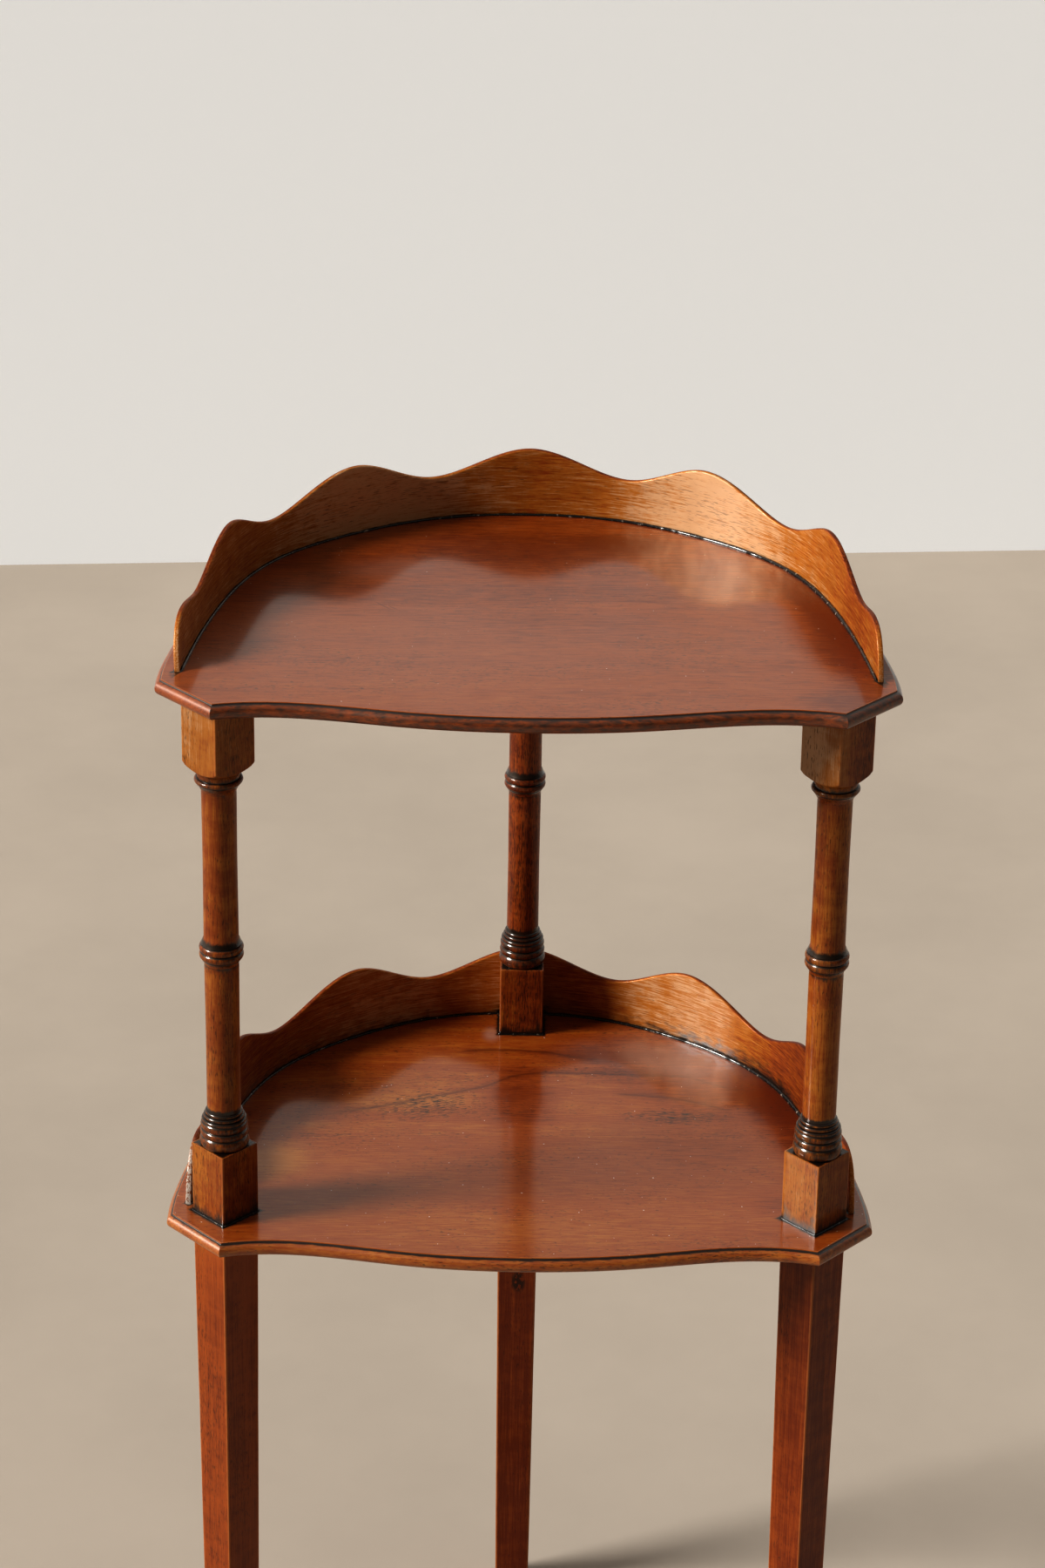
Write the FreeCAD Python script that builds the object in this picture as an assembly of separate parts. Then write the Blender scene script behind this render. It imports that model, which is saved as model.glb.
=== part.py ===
"""A two-tier side table in mahogany.

Two D-shaped shelves with a moulded edge, each with a bent, scalloped gallery let into it, stand on
three turned uprights and three square tapered legs. One STEP file per piece goes into parts/.

The pieces are drawn about a working origin: the middle of the line between the two front columns,
with Z = 0 on the floor. Each one is moved once, on export, to the part's own frame: +Z up, front
towards -Y, and the origin under the middle of the bounding box.
"""
import FreeCAD, Part
import os

Vector = FreeCAD.Vector
UP = Vector(0, 0, 1)
AXIS_START = Vector(0, 0, 0)
MITRED = 1

# ---------------------------------------------------------------- driving dimensions, millimetres
# Heights above the floor
LOWER_SURFACE = 432.0
TIER_SPACING = 345.6
TOP_SURFACE = LOWER_SURFACE + TIER_SPACING

# Shelves. The arris line is the edge of the flat top, and the nose stands out beyond it.
SHELF_THICKNESS = 9.5
STEP_HEIGHT = 1.0
NOSE_REACH = 3.4
NOSE_ROOT = 4.0
ARRIS_RADIUS = 0.35
RIM_WIDTH = 5.6
CANT_FRONT_X = 174.6
CANT_FRONT_Y = -37.5
FRONT_HOLLOW_X = 137.0
FRONT_HOLLOW_Y = -33.4
FRONT_FLANK_X = 66.0
FRONT_FLANK_Y = -44.2
FRONT_CROWN_Y = -49.0
TOP_SEAM_Y = 104.0
LOWER_SEAM_Y = 92.0

# Gallery. GALLERY_LINE is the right half of its inner face in plan, from the canted corner of the
# shelf round to the middle of the back. SCALLOPS gives its height at distances along that line from
# the middle of the back.
GALLERY_THICKNESS = 3.2
GALLERY_GROOVE = 3.0
GALLERY_LINE = [
    (196.6, -6.0),
    (189.5, 50.0),
    (178.5, 105.0),
    (152.5, 169.5),
    (104.0, 216.5),
    (52.0, 243.0),
    (0.0, 250.0),
]
SCALLOPS = [
    (0.0, 42.4),
    (61.0, 26.8),
    (109.5, 42.5),
    (177.0, 25.6),
    (227.0, 41.8),
    (294.0, 24.9),
    (319.0, 28.2),
    (337.0, 23.8),
    (346.5, 11.0),
    (350.0, 0.0),
]
LOWER_GALLERY_GROWTH = 1.1
GALLERY_SAMPLES = 121

# The shelf's edge keeps an even distance outside the gallery round the back, and swells out a little
# more at each side, from one distance along the line up to another where it's fullest.
SWELL = 1.6
SWELL_START = 225.0
SWELL_PEAK = 335.0

# A curve offset from the gallery line is drawn through this many steps, and stops this share short
# of the line's two ends, where a distance can't be looked up past the end.
EDGE_STEPS = 80
EDGE_SHARE = 0.99999

# Columns
FRONT_COLUMN_X = 174.25
BACK_COLUMN_Y = 235.6
TOP_BLOCK_SIDE = 29.4
TOP_BLOCK_DEPTH = 52.0
BASE_BLOCK_SIDE = 27.6
BASE_BLOCK_HEIGHT = 46.0
BLOCK_ARRIS = 0.6

# The turned profile, downwards by depth below the top surface. (depth, radius) ends a straight run,
# and (depth, radius, bulge) ends an arc that passes through the bulge radius halfway. The shoulder
# cuts the top block round into the neck, and its first three stations clear the block's corners.
SHOULDER = [
    (9.5, 28.0),
    (51.0, 28.0),
    (51.9, 20.4),
    (54.3, 18.0, 19.6),
    (56.3, 14.0, 15.8),
    (60.0, 12.3, 12.7),
]
NECK_DEPTH = 60.0
COLLAR = [
    (60.0, 12.3),
    (61.0, 12.3),
    (64.0, 13.1, 14.0),
    (64.3, 13.1),
    (69.4, 10.1, 11.3),
]
RINGS = [
    (115.0, 9.9),
    (162.7, 10.15),
    (166.5, 11.8),
    (166.9, 11.6),
    (171.5, 11.8, 12.9),
    (176.1, 11.6, 12.9),
    (176.5, 11.6),
    (179.6, 10.1, 10.6),
    (228.0, 9.8),
]
REED_CONE = [
    (276.0, 10.0),
    (278.4, 10.8, 11.2),
    (280.8, 11.8, 12.2),
    (283.2, 12.9, 13.3),
]
FOOT_BEADS = [
    (287.9, 12.9, 13.9),
    (292.5, 13.2, 14.2),
    (299.6, 13.2, 14.6),
]

# Legs
LEG_TOP_SIDE = 27.3
LEG_FOOT_SIDE = 22.1
LEG_ARRIS = 0.8

# Joinery
TOP_DOWEL_RADIUS = 5.0
TOP_DOWEL_IN_SHELF = 5.5
TOP_DOWEL_IN_BLOCK = 26.0
LEG_DOWEL_RADIUS = 6.0
LEG_DOWEL_IN_BLOCK = 32.0
LEG_DOWEL_IN_LEG = 38.0
GLUE_ROOM = 1.0
DOWEL_CHAMFER = 0.8
PIN_RADIUS = 0.6
PIN_HEAD_RADIUS = 1.3
PIN_HEAD_HEIGHT = 0.9
PIN_LENGTH = 17.0
PIN_DISTANCES = [0.0, 109.5, 227.0, 319.0]

CANT_TURN = 45.0
LARGE = 600.0
LEVEL_TOLERANCE = 0.01

# ---------------------------------------------------------------- derived places
NOSE_HEIGHT = SHELF_THICKNESS - STEP_HEIGHT
FRONT_EDGE_Y = FRONT_CROWN_Y - NOSE_REACH
BACK_EDGE_Y = GALLERY_LINE[-1][1] + GALLERY_THICKNESS + RIM_WIDTH + NOSE_REACH
FRAME_SHIFT = Vector(0, -(FRONT_EDGE_Y + BACK_EDGE_Y) / 2, 0)
COLUMNS = {
    "left_front": (-FRONT_COLUMN_X, 0.0, CANT_TURN),
    "right_front": (FRONT_COLUMN_X, 0.0, CANT_TURN),
    "back": (0.0, BACK_COLUMN_Y, 0.0),
}
# Each dowel's radius, and the heights of its two ends
TOP_DOWEL = (
    TOP_DOWEL_RADIUS,
    TOP_SURFACE - SHELF_THICKNESS - TOP_DOWEL_IN_BLOCK,
    TOP_SURFACE - SHELF_THICKNESS + TOP_DOWEL_IN_SHELF,
)
LEG_DOWEL = (
    LEG_DOWEL_RADIUS,
    LOWER_SURFACE - SHELF_THICKNESS - LEG_DOWEL_IN_LEG,
    LOWER_SURFACE + LEG_DOWEL_IN_BLOCK,
)


# ---------------------------------------------------------------- curves
def spline(points, parameters=None):
    """A smooth curve through the given points."""
    curve = Part.BSplineCurve()
    if parameters:
        curve.interpolate(Points=points, Parameters=parameters)
    else:
        curve.interpolate(points)
    return curve


def mirrored(half):
    """The points of a half, from its end to the middle line, followed by their mirror image."""
    return half + [(-x, y) for x, y in reversed(half[:-1])]


gallery_line = spline([Vector(x, y, 0) for x, y in mirrored(GALLERY_LINE)])
LINE_MIDDLE = (gallery_line.FirstParameter + gallery_line.LastParameter) / 2
LINE_REACH = gallery_line.length(LINE_MIDDLE, gallery_line.LastParameter)


def beside_line(distance, offset, height):
    """A point at a distance along the gallery line from the back's middle, positive to the left.

    The offset is outwards, square to the line.
    """
    place = gallery_line.parameterAtDistance(distance, LINE_MIDDLE)
    outwards = gallery_line.tangent(place)[0].cross(UP)
    point = gallery_line.value(place) + outwards * offset
    return Vector(point.x, point.y, height)


def swell(distance):
    """How much further out the shelf's edge stands at a distance along the gallery line."""
    along = abs(distance)
    if along < SWELL_PEAK:
        share = max(0.0, (along - SWELL_START) / (SWELL_PEAK - SWELL_START))
        return SWELL * share**2 * (3 - 2 * share)
    return SWELL * (1 - ((along - SWELL_PEAK) / (LINE_REACH - SWELL_PEAK))**2)


def side_edge(offset):
    """The shelf's curved edge, at an offset outwards from the gallery line."""
    reach = LINE_REACH * EDGE_SHARE
    distances = [reach * (2 * i / EDGE_STEPS - 1) for i in range(EDGE_STEPS + 1)]
    return spline([beside_line(d, offset + swell(d), 0) for d in distances]).toShape()


def arris_outline():
    """The closed outline of the shelf's flat top, in plan."""
    side = side_edge(GALLERY_THICKNESS + RIM_WIDTH)
    right_back = side.valueAt(side.FirstParameter)
    left_back = side.valueAt(side.LastParameter)
    right_front = Vector(CANT_FRONT_X, CANT_FRONT_Y, 0)
    left_front = Vector(-CANT_FRONT_X, CANT_FRONT_Y, 0)
    crown = Vector(0, FRONT_CROWN_Y, 0)
    half = [(FRONT_HOLLOW_X, FRONT_HOLLOW_Y), (FRONT_FLANK_X, FRONT_FLANK_Y)]
    right = [Vector(x, y, 0) for x, y in half]
    left = [Vector(-x, y, 0) for x, y in reversed(half)]
    front = spline([right_front] + right + [crown] + left + [left_front]).toShape()
    edges = [
        side,
        Part.makeLine(left_back, left_front),
        front,
        Part.makeLine(right_front, right_back),
    ]
    return Part.Wire(Part.__sortEdges__(edges))


# ---------------------------------------------------------------- shelves
def horizontal_edges(shape, height):
    """The edges of a shape that lie level at a height."""
    level = []
    for edge in shape.Edges:
        box = edge.BoundBox
        if max(abs(box.ZMin - height), abs(box.ZMax - height)) < LEVEL_TOLERANCE:
            level.append(edge)
    return level


def nose_profile(spine):
    """The section of the rounded nose, square to the start of the shelf's outline."""
    foot = spine.Edges[0].valueAt(spine.Edges[0].FirstParameter)
    along = spine.Edges[0].tangentAt(spine.Edges[0].FirstParameter)
    outwards = along.cross(UP)
    bottom_inside = foot - outwards * NOSE_ROOT
    top_inside = bottom_inside + UP * NOSE_HEIGHT
    top = foot + UP * NOSE_HEIGHT
    tip = foot + outwards * NOSE_REACH + UP * (NOSE_HEIGHT / 2)
    return Part.Wire([
        Part.makeLine(bottom_inside, foot),
        Part.Arc(foot, tip, top).toShape(),
        Part.makeLine(top, top_inside),
        Part.makeLine(top_inside, bottom_inside),
    ])


def shelf_blank(surface):
    """A whole shelf: a rounded nose all round, and a flat top that stands a step above it."""
    outline = arris_outline()
    nose = outline.makePipeShell([nose_profile(outline)], True, False, MITRED)
    flat = Part.Face(outline).extrude(UP * SHELF_THICKNESS)
    flat = flat.makeFillet(ARRIS_RADIUS, horizontal_edges(flat, SHELF_THICKNESS))
    shelf = flat.fuse(nose).removeSplitter()
    shelf.translate(UP * (surface - SHELF_THICKNESS))
    return shelf


def board(shelf, low_y, high_y):
    """The part of a shelf between two seams that run from left to right."""
    slab = Part.makeBox(2 * LARGE, high_y - low_y, 2 * LARGE, Vector(-LARGE, low_y, 0))
    return shelf.common(slab)


# ---------------------------------------------------------------- galleries
def scallop_stations(growth):
    """Distances along the gallery line, each with the gallery's height there."""
    half = [(distance, height * growth) for distance, height in reversed(SCALLOPS)]
    edge = spline([Vector(d, h, 0) for d, h in mirrored(half)])
    whole = edge.length()
    stations = []
    for i in range(GALLERY_SAMPLES):
        place = edge.parameterAtDistance(whole * i / (GALLERY_SAMPLES - 1), edge.FirstParameter)
        point = edge.value(place)
        stations.append((point.x, point.y))
    return stations


def rail(stations, offset, surface, groove):
    """A long edge of the gallery: its foot, or its scalloped top where groove is None."""
    points = []
    for distance, height in stations:
        level = surface + height if groove is None else surface - groove
        points.append(beside_line(-distance, offset, level))
    steps = len(points) - 1
    return spline(points, [i / steps for i in range(steps + 1)]).toShape()


def gallery(surface, growth):
    """A thin bent strip with a scalloped top, standing in its groove, and the groove's own shape."""
    stations = scallop_stations(growth)
    inner_foot = rail(stations, 0, surface, GALLERY_GROOVE)
    outer_foot = rail(stations, GALLERY_THICKNESS, surface, GALLERY_GROOVE)
    inner_top = rail(stations, 0, surface, None)
    outer_top = rail(stations, GALLERY_THICKNESS, surface, None)
    rails = [inner_foot, inner_top, outer_top, outer_foot]
    faces = [Part.makeRuledSurface(rails[i - 1], rails[i]) for i in range(len(rails))]
    for end in (0, 1):
        corners = [edge.valueAt(edge.ParameterRange[end]) for edge in rails]
        faces.append(Part.Face(Part.makePolygon(corners + corners[:1])))
    shell = Part.makeCompound(faces)
    shell.sewShape()
    strip = Part.makeSolid(shell.Shells[0])
    if strip.Volume < 0:
        strip.reverse()
    foot_ends = []
    for end in (0, 1):
        here = inner_foot.valueAt(inner_foot.ParameterRange[end])
        there = outer_foot.valueAt(outer_foot.ParameterRange[end])
        foot_ends.append(Part.makeLine(here, there))
    foot = Part.Wire(Part.__sortEdges__([inner_foot, outer_foot] + foot_ends))
    groove = Part.Face(foot).extrude(UP * (2 * GALLERY_GROOVE))
    return strip, groove


# ---------------------------------------------------------------- columns
def square_bar(side, low, high, arris):
    """An upright square bar centred on the Z axis, with its four corners eased."""
    bar = Part.makeBox(side, side, high - low, Vector(-side / 2, -side / 2, low))
    uprights = [e for e in bar.Edges if e.BoundBox.ZLength > (high - low) / 2]
    return bar.makeFillet(arris, uprights)


def turned(stations):
    """A solid turned about the Z axis, from stations listed downwards.

    A station (height, radius) ends a straight run, and a station (height, radius, bulge) ends an
    arc that passes through the bulge radius halfway.
    """
    first = stations[0]
    here = Vector(first[1], 0, first[0])
    edges = [Part.makeLine(Vector(0, 0, first[0]), here)]
    for station in stations[1:]:
        there = Vector(station[1], 0, station[0])
        if len(station) == 3:
            halfway = Vector(station[2], 0, (here.z + there.z) / 2)
            edges.append(Part.Arc(here, halfway, there).toShape())
        else:
            edges.append(Part.makeLine(here, there))
        here = there
    edges.append(Part.makeLine(here, Vector(0, 0, here.z)))
    edges.append(Part.makeLine(Vector(0, 0, here.z), Vector(0, 0, first[0])))
    return Part.Face(Part.Wire(edges)).revolve(AXIS_START, UP, 360)


def below_top(stations):
    """Stations given by their depth below the top surface, as heights above the floor."""
    return [(TOP_SURFACE - station[0],) + station[1:] for station in stations]


def upright():
    """An upright about the Z axis: top block, turned shaft and base block from one bar."""
    underside = TOP_SURFACE - SHELF_THICKNESS
    neck = TOP_SURFACE - NECK_DEPTH
    block = square_bar(TOP_BLOCK_SIDE, neck, underside, BLOCK_ARRIS)
    block = block.common(turned(below_top(SHOULDER)))
    shaft = turned(below_top(COLLAR + RINGS + REED_CONE + FOOT_BEADS))
    base_top = LOWER_SURFACE + BASE_BLOCK_HEIGHT
    base = square_bar(BASE_BLOCK_SIDE, LOWER_SURFACE, base_top, BLOCK_ARRIS)
    base = base.makeFillet(BLOCK_ARRIS / 2, horizontal_edges(base, base_top))
    return block.fuse([shaft, base]).removeSplitter()


def leg():
    """A leg about the Z axis, square in section and tapered from the lower shelf to the floor."""
    outlines = []
    for side, height in ((LEG_FOOT_SIDE, 0), (LEG_TOP_SIDE, LOWER_SURFACE - SHELF_THICKNESS)):
        half = side / 2
        corners = [(-half, -half), (half, -half), (half, half), (-half, half), (-half, -half)]
        outlines.append(Part.makePolygon([Vector(x, y, height) for x, y in corners]))
    taper = Part.makeLoft(outlines, True, True)
    long_edges = [edge for edge in taper.Edges if edge.BoundBox.ZLength > LARGE / 2]
    return taper.makeFillet(LEG_ARRIS, long_edges)


# ---------------------------------------------------------------- joinery
def dowel(radius, low, high):
    """A dowel about the Z axis with both ends chamfered."""
    peg = Part.makeCylinder(radius, high - low, Vector(0, 0, low))
    return peg.makeChamfer(DOWEL_CHAMFER, horizontal_edges(peg, low) + horizontal_edges(peg, high))


def dowel_hole(radius, low, high):
    """The hole for a dowel, with room for glue past each end."""
    depth = high - low + 2 * GLUE_ROOM
    return Part.makeCylinder(radius, depth, Vector(0, 0, low - GLUE_ROOM))


def gallery_pins(surface):
    """Small headed pins driven up through the shelf into the gallery's foot."""
    underside = surface - SHELF_THICKNESS
    distances = sorted({sign * distance for distance in PIN_DISTANCES for sign in (-1, 1)})
    pins = []
    for distance in distances:
        place = beside_line(distance, GALLERY_THICKNESS / 2, underside)
        head = Part.makeCylinder(PIN_HEAD_RADIUS, PIN_HEAD_HEIGHT, place)
        shank = Part.makeCylinder(PIN_RADIUS, PIN_LENGTH, place)
        pins.append(head.fuse(shank).removeSplitter())
    return pins


def placed(shape, column):
    """A copy of a shape drawn about the Z axis, turned and moved to a column's place."""
    x, y, turn = COLUMNS[column]
    copy = shape.copy()
    copy.rotate(AXIS_START, UP, turn)
    copy.translate(Vector(x, y, 0))
    return copy


# ---------------------------------------------------------------- assembly
def tier(name, surface, growth, seam_y, dowel_size):
    """One shelf in two boards, its gallery and the gallery's pins."""
    strip, groove = gallery(surface, growth)
    pins = gallery_pins(surface)
    holes = [placed(dowel_hole(*dowel_size), column) for column in COLUMNS]
    shelf = shelf_blank(surface).cut([groove] + holes + pins)
    return {
        name + "_shelf_front_board": board(shelf, -LARGE, seam_y),
        name + "_shelf_back_board": board(shelf, seam_y, LARGE),
        name + "_gallery": strip.cut(pins),
        name + "_gallery_pins": Part.makeCompound(pins),
    }


def columns():
    """The three uprights and three legs, each bored for its dowels, and the dowels."""
    top_hole = dowel_hole(*TOP_DOWEL)
    leg_hole = dowel_hole(*LEG_DOWEL)
    bored_upright = upright().cut([top_hole, leg_hole])
    bored_leg = leg().cut(leg_hole)
    pieces = {}
    for column in COLUMNS:
        pieces[column + "_upright"] = placed(bored_upright, column)
        pieces[column + "_leg"] = placed(bored_leg, column)
        pieces[column + "_top_dowel"] = placed(dowel(*TOP_DOWEL), column)
        pieces[column + "_leg_dowel"] = placed(dowel(*LEG_DOWEL), column)
    return pieces


def main():
    """Build every piece and export each one to its own STEP file."""
    os.makedirs("parts", exist_ok=True)
    pieces = {}
    pieces.update(tier("top", TOP_SURFACE, 1.0, TOP_SEAM_Y, TOP_DOWEL))
    pieces.update(tier("lower", LOWER_SURFACE, LOWER_GALLERY_GROWTH, LOWER_SEAM_Y, LEG_DOWEL))
    pieces.update(columns())
    for name, shape in pieces.items():
        shape.translate(FRAME_SHIFT)
        shape.exportStep("parts/" + name + ".step")
    return pieces


main()
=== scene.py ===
"""A two-tier side table in polished mahogany: the visual model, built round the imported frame.

Each piece of wood is drawn afresh in mesh code from the same sizes as the solids, with the softened
arrises, the moulded edge, the turned beads and the dark wax that the maker left in the corners.
Lengths in the tables are millimetres. Everything that reaches a mesh is in metres.
"""
import math

import bmesh
import bpy
import numpy as np
from bpy.props import FloatProperty, FloatVectorProperty, PointerProperty
from mathutils import Matrix, Vector, noise
from mathutils.geometry import delaunay_2d_cdt


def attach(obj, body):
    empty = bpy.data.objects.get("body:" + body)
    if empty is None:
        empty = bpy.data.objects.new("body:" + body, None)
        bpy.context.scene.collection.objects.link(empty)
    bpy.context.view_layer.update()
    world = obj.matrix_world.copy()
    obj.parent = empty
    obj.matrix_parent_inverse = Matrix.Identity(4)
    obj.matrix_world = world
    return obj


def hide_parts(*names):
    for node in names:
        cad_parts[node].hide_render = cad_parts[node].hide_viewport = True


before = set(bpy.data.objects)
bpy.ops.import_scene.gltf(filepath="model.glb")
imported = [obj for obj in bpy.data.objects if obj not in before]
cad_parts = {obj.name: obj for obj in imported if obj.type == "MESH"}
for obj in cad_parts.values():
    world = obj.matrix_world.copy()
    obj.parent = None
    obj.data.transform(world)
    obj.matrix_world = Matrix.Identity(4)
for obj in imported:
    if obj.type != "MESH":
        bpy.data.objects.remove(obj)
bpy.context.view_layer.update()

bl_info = {
    "name": "Tiered Side Table",
    "version": (1, 0, 0),
    "blender": (4, 5, 0),
    "location": "3D View > Sidebar > Side Table",
    "description": "Builds a two-tier mahogany side table with scalloped galleries",
    "category": "Object",
}

MM = 0.001
BODY = "root"

# ---------------------------------------------------------------- sizes shared with the solids
SHIFT_Y = -104.9
LOWER_SURFACE = 432.0
TOP_SURFACE = 777.6
SHELF_THICKNESS = 9.5
STEP_HEIGHT = 1.0
NOSE_REACH = 3.38
CANT_FRONT = (174.6, -37.5)
FRONT_LINE = [CANT_FRONT, (137.0, -33.4), (66.0, -44.2), (0.0, -49.0)]
SEAM_Y = {"top": 104.0, "lower": 92.0}
GALLERY_LINE = [(196.6, -6.0), (189.5, 50.0), (178.5, 105.0), (152.5, 169.5), (104.0, 216.5),
                (52.0, 243.0), (0.0, 250.0)]
# Height of the upper gallery by distance along it from the middle of the back
SCALLOPS = [(0.0, 42.4), (61.0, 26.8), (109.5, 42.5), (177.0, 25.6), (227.0, 41.8), (294.0, 24.9),
            (319.0, 28.2), (337.0, 23.8), (346.5, 11.0), (350.0, 0.0)]
GALLERY_GROOVE = 3.0
# How far the shelf's edge swells out at each side, and the distances where that starts and peaks
SWELL = 1.6
SWELL_START = 225.0
SWELL_PEAK = 335.0
# Where each column stands in plan, and how far its square blocks are turned, in degrees
COLUMNS = {"left_front": (-174.25, 0.0, 45.0), "right_front": (174.25, 0.0, 45.0),
           "back": (0.0, 235.6, 0.0)}
TOP_BLOCK_SIDE = 29.4
BASE_BLOCK_SIDE = 27.6
BASE_BLOCK_HEIGHT = 46.0
LEG_TOP_SIDE = 27.3
LEG_FOOT_SIDE = 22.1
NECK_DEPTH = 60.0
TIER_SPACING = TOP_SURFACE - LOWER_SURFACE
# Turned profile by depth below the top surface: (depth, radius) ends a straight run, and
# (depth, radius, bulge) ends an arc through the bulge radius halfway.
SHOULDER = [(51.4, 22.4), (51.9, 20.4), (54.3, 18.0, 19.6), (56.3, 14.0, 15.8), (60.0, 12.3, 12.7)]
TURNED = [
    (61.0, 12.3), (64.0, 13.1, 14.0), (64.3, 13.1), (69.4, 10.1, 11.3), (115.0, 9.9),
    (162.7, 10.15), (166.5, 11.8), (166.9, 11.6), (171.5, 11.8, 12.9), (176.1, 11.6, 12.9),
    (176.5, 11.6), (179.6, 10.1, 10.6), (228.0, 9.8), (276.0, 10.0), (278.4, 10.8, 11.2),
    (280.8, 11.8, 12.2), (283.2, 12.9, 13.3), (287.9, 12.9, 13.9), (292.5, 13.2, 14.2),
    (299.6, 13.2, 14.6),
]
# Depths of the turned grooves, each with how dark the polish left in it is
GROOVES = [
    (60.6, 1.0), (64.2, 0.9), (69.2, 0.35), (163.0, 0.5), (166.7, 0.9), (171.5, 1.0),
    (176.3, 1.0), (179.6, 0.5), (276.2, 0.9), (278.4, 1.0), (280.8, 1.0), (283.2, 1.0),
    (287.9, 1.0), (292.5, 1.0), (299.4, 1.0),
]
GROOVE_REACH = 0.36
# Turned beads under a broad dark film: (depth of the top, depth of the foot, how dark)
DARK_BEADS = [(59.0, 68.0, 0.38), (164.0, 179.0, 0.34), (275.0, 300.0, 0.42)]
# Radius of each dowel's bore and how deep it goes
TOP_BORE = (5.0, 27.0)
BASE_BORE = (6.0, 33.0)
LEG_BORE = (6.0, 39.0)


# ---------------------------------------------------------------- settings a user would change
def length(name, description, default):
    """A length that a user can change, given in millimetres."""
    return FloatProperty(name=name, description=description, default=default * MM, unit="LENGTH")


def hue(name, description, default):
    """A colour that a user can change."""
    return FloatVectorProperty(
        name=name, description=description, default=default, subtype="COLOR")


class ShelfSettings(bpy.types.PropertyGroup):
    """Sizes of the two shelves."""

    rim: length("Rim", "Flat left outside the gallery", 5.6)
    arris: length("Arris", "Radius of the worn top edge", 0.4)
    quirk: length("Quirk", "Width of the sunk line above the nose", 0.5)


class GallerySettings(bpy.types.PropertyGroup):
    """Sizes of the two galleries."""

    thickness: length("Thickness", "Thickness of the bent strip", 3.2)
    round_over: length("Round-over", "Radius along the scalloped edge", 1.15)
    lower_growth: FloatProperty(
        name="Lower growth", description="Height of the lower gallery against the upper one",
        default=1.1)


class ColumnSettings(bpy.types.PropertyGroup):
    """Sizes of the uprights and legs."""

    block_arris: length("Block arris", "Radius of the corners of the square blocks", 0.8)
    leg_arris: length("Leg arris", "Radius of the corners of the legs", 0.9)
    wax: length("Wax", "Width of the dark wax left along the joints", 2.0)


class FinishSettings(bpy.types.PropertyGroup):
    """Colours of the wood and its polish."""

    dark: hue("Dark wood", "Late wood between the rings", (0.115, 0.018, 0.003))
    red: hue("Red wood", "The common colour of the wood", (0.25, 0.056, 0.008))
    gold: hue("Golden wood", "Light bands of the figure", (0.40, 0.145, 0.022))
    honey: hue("Honey wood", "The lightest wood of the bent strips", (0.60, 0.36, 0.20))
    vein: hue("Vein", "Dark lines between the growth rings", (0.055, 0.008, 0.002))
    glaze: hue("Glaze", "Dark polish left in grooves", (0.012, 0.006, 0.004))
    worn: hue("Worn wood", "Wood where the polish has rubbed thin", (0.50, 0.20, 0.07))
    # The next colour is partly dust on the polish and partly a painted sheen: a pale haze that
    # stands in for reflected light.
    dust_and_sheen: hue("Dust and sheen", "Haze where the polish is dusty", (0.36, 0.24, 0.205))
    crust: hue("Crust", "Pale residue left beside a joint", (0.50, 0.45, 0.40))
    dust: hue("Dust", "Specks of dust on flat faces", (0.75, 0.70, 0.64))
    wax: hue("Wax", "Black wax in the joints", (0.010, 0.008, 0.007))
    old_wax: hue("Old wax", "Wax that has gone dull", (0.40, 0.33, 0.27))


class StudioSettings(bpy.types.PropertyGroup):
    """The floor, the backdrop, the lights and the camera."""

    floor: hue("Floor", "Colour of the floor", (0.410, 0.356, 0.302))
    wall: hue("Wall", "Colour of the backdrop", (0.77, 0.78, 0.785))
    key: FloatProperty(
        name="Key", description="Strength of the distant lamp on the left", default=4.0)
    fill: FloatProperty(
        name="Fill", description="Strength of the light from all round", default=0.086)
    lens: FloatProperty(
        name="Lens", description="Focal length of the camera", default=98.52, unit="CAMERA")


class SideTableSettings(bpy.types.PropertyGroup):
    """All the settings of the side table."""

    shelf: PointerProperty(type=ShelfSettings)
    gallery: PointerProperty(type=GallerySettings)
    column: PointerProperty(type=ColumnSettings)
    finish: PointerProperty(type=FinishSettings)
    studio: PointerProperty(type=StudioSettings)


def settings():
    """The side table's settings on the current scene."""
    return bpy.context.scene.side_table


# ---------------------------------------------------------------- curves
def through(points, count):
    """Points along a smooth curve through the given ones, evenly spaced."""
    knots = np.asarray(points, float)
    last = len(knots) - 1
    gap = np.linalg.norm(np.diff(knots, axis=0), axis=1)
    at = run_along(knots)
    system = np.zeros((last + 1, last + 1))
    right = np.zeros_like(knots)
    for i in range(1, last):
        system[i, i - 1:i + 2] = gap[i - 1], 2 * (gap[i - 1] + gap[i]), gap[i]
        right[i] = 6 * ((knots[i + 1] - knots[i]) / gap[i] - (knots[i] - knots[i - 1]) / gap[i - 1])
    system[0, :3] = gap[1], -(gap[0] + gap[1]), gap[0]
    system[last, last - 2:] = gap[-1], -(gap[-1] + gap[-2]), gap[-2]
    bend = np.linalg.solve(system, right)
    place = np.linspace(0, at[-1], 4 * count)
    k = np.clip(np.searchsorted(at, place, side="right") - 1, 0, last - 1)
    after, before, width = (at[k + 1] - place), (place - at[k]), gap[k]
    after, before, width = after[:, None], before[:, None], width[:, None]
    curve = (
        bend[k] * after**3 / (6 * width)
        + bend[k + 1] * before**3 / (6 * width)
        + (knots[k] / width - bend[k] * width / 6) * after
        + (knots[k + 1] / width - bend[k + 1] * width / 6) * before
    )
    return evenly(curve, count)


def run_along(line):
    """How far along a line each of its points lies."""
    return np.concatenate([[0.0], np.cumsum(np.linalg.norm(np.diff(line, axis=0), axis=1))])


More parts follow.
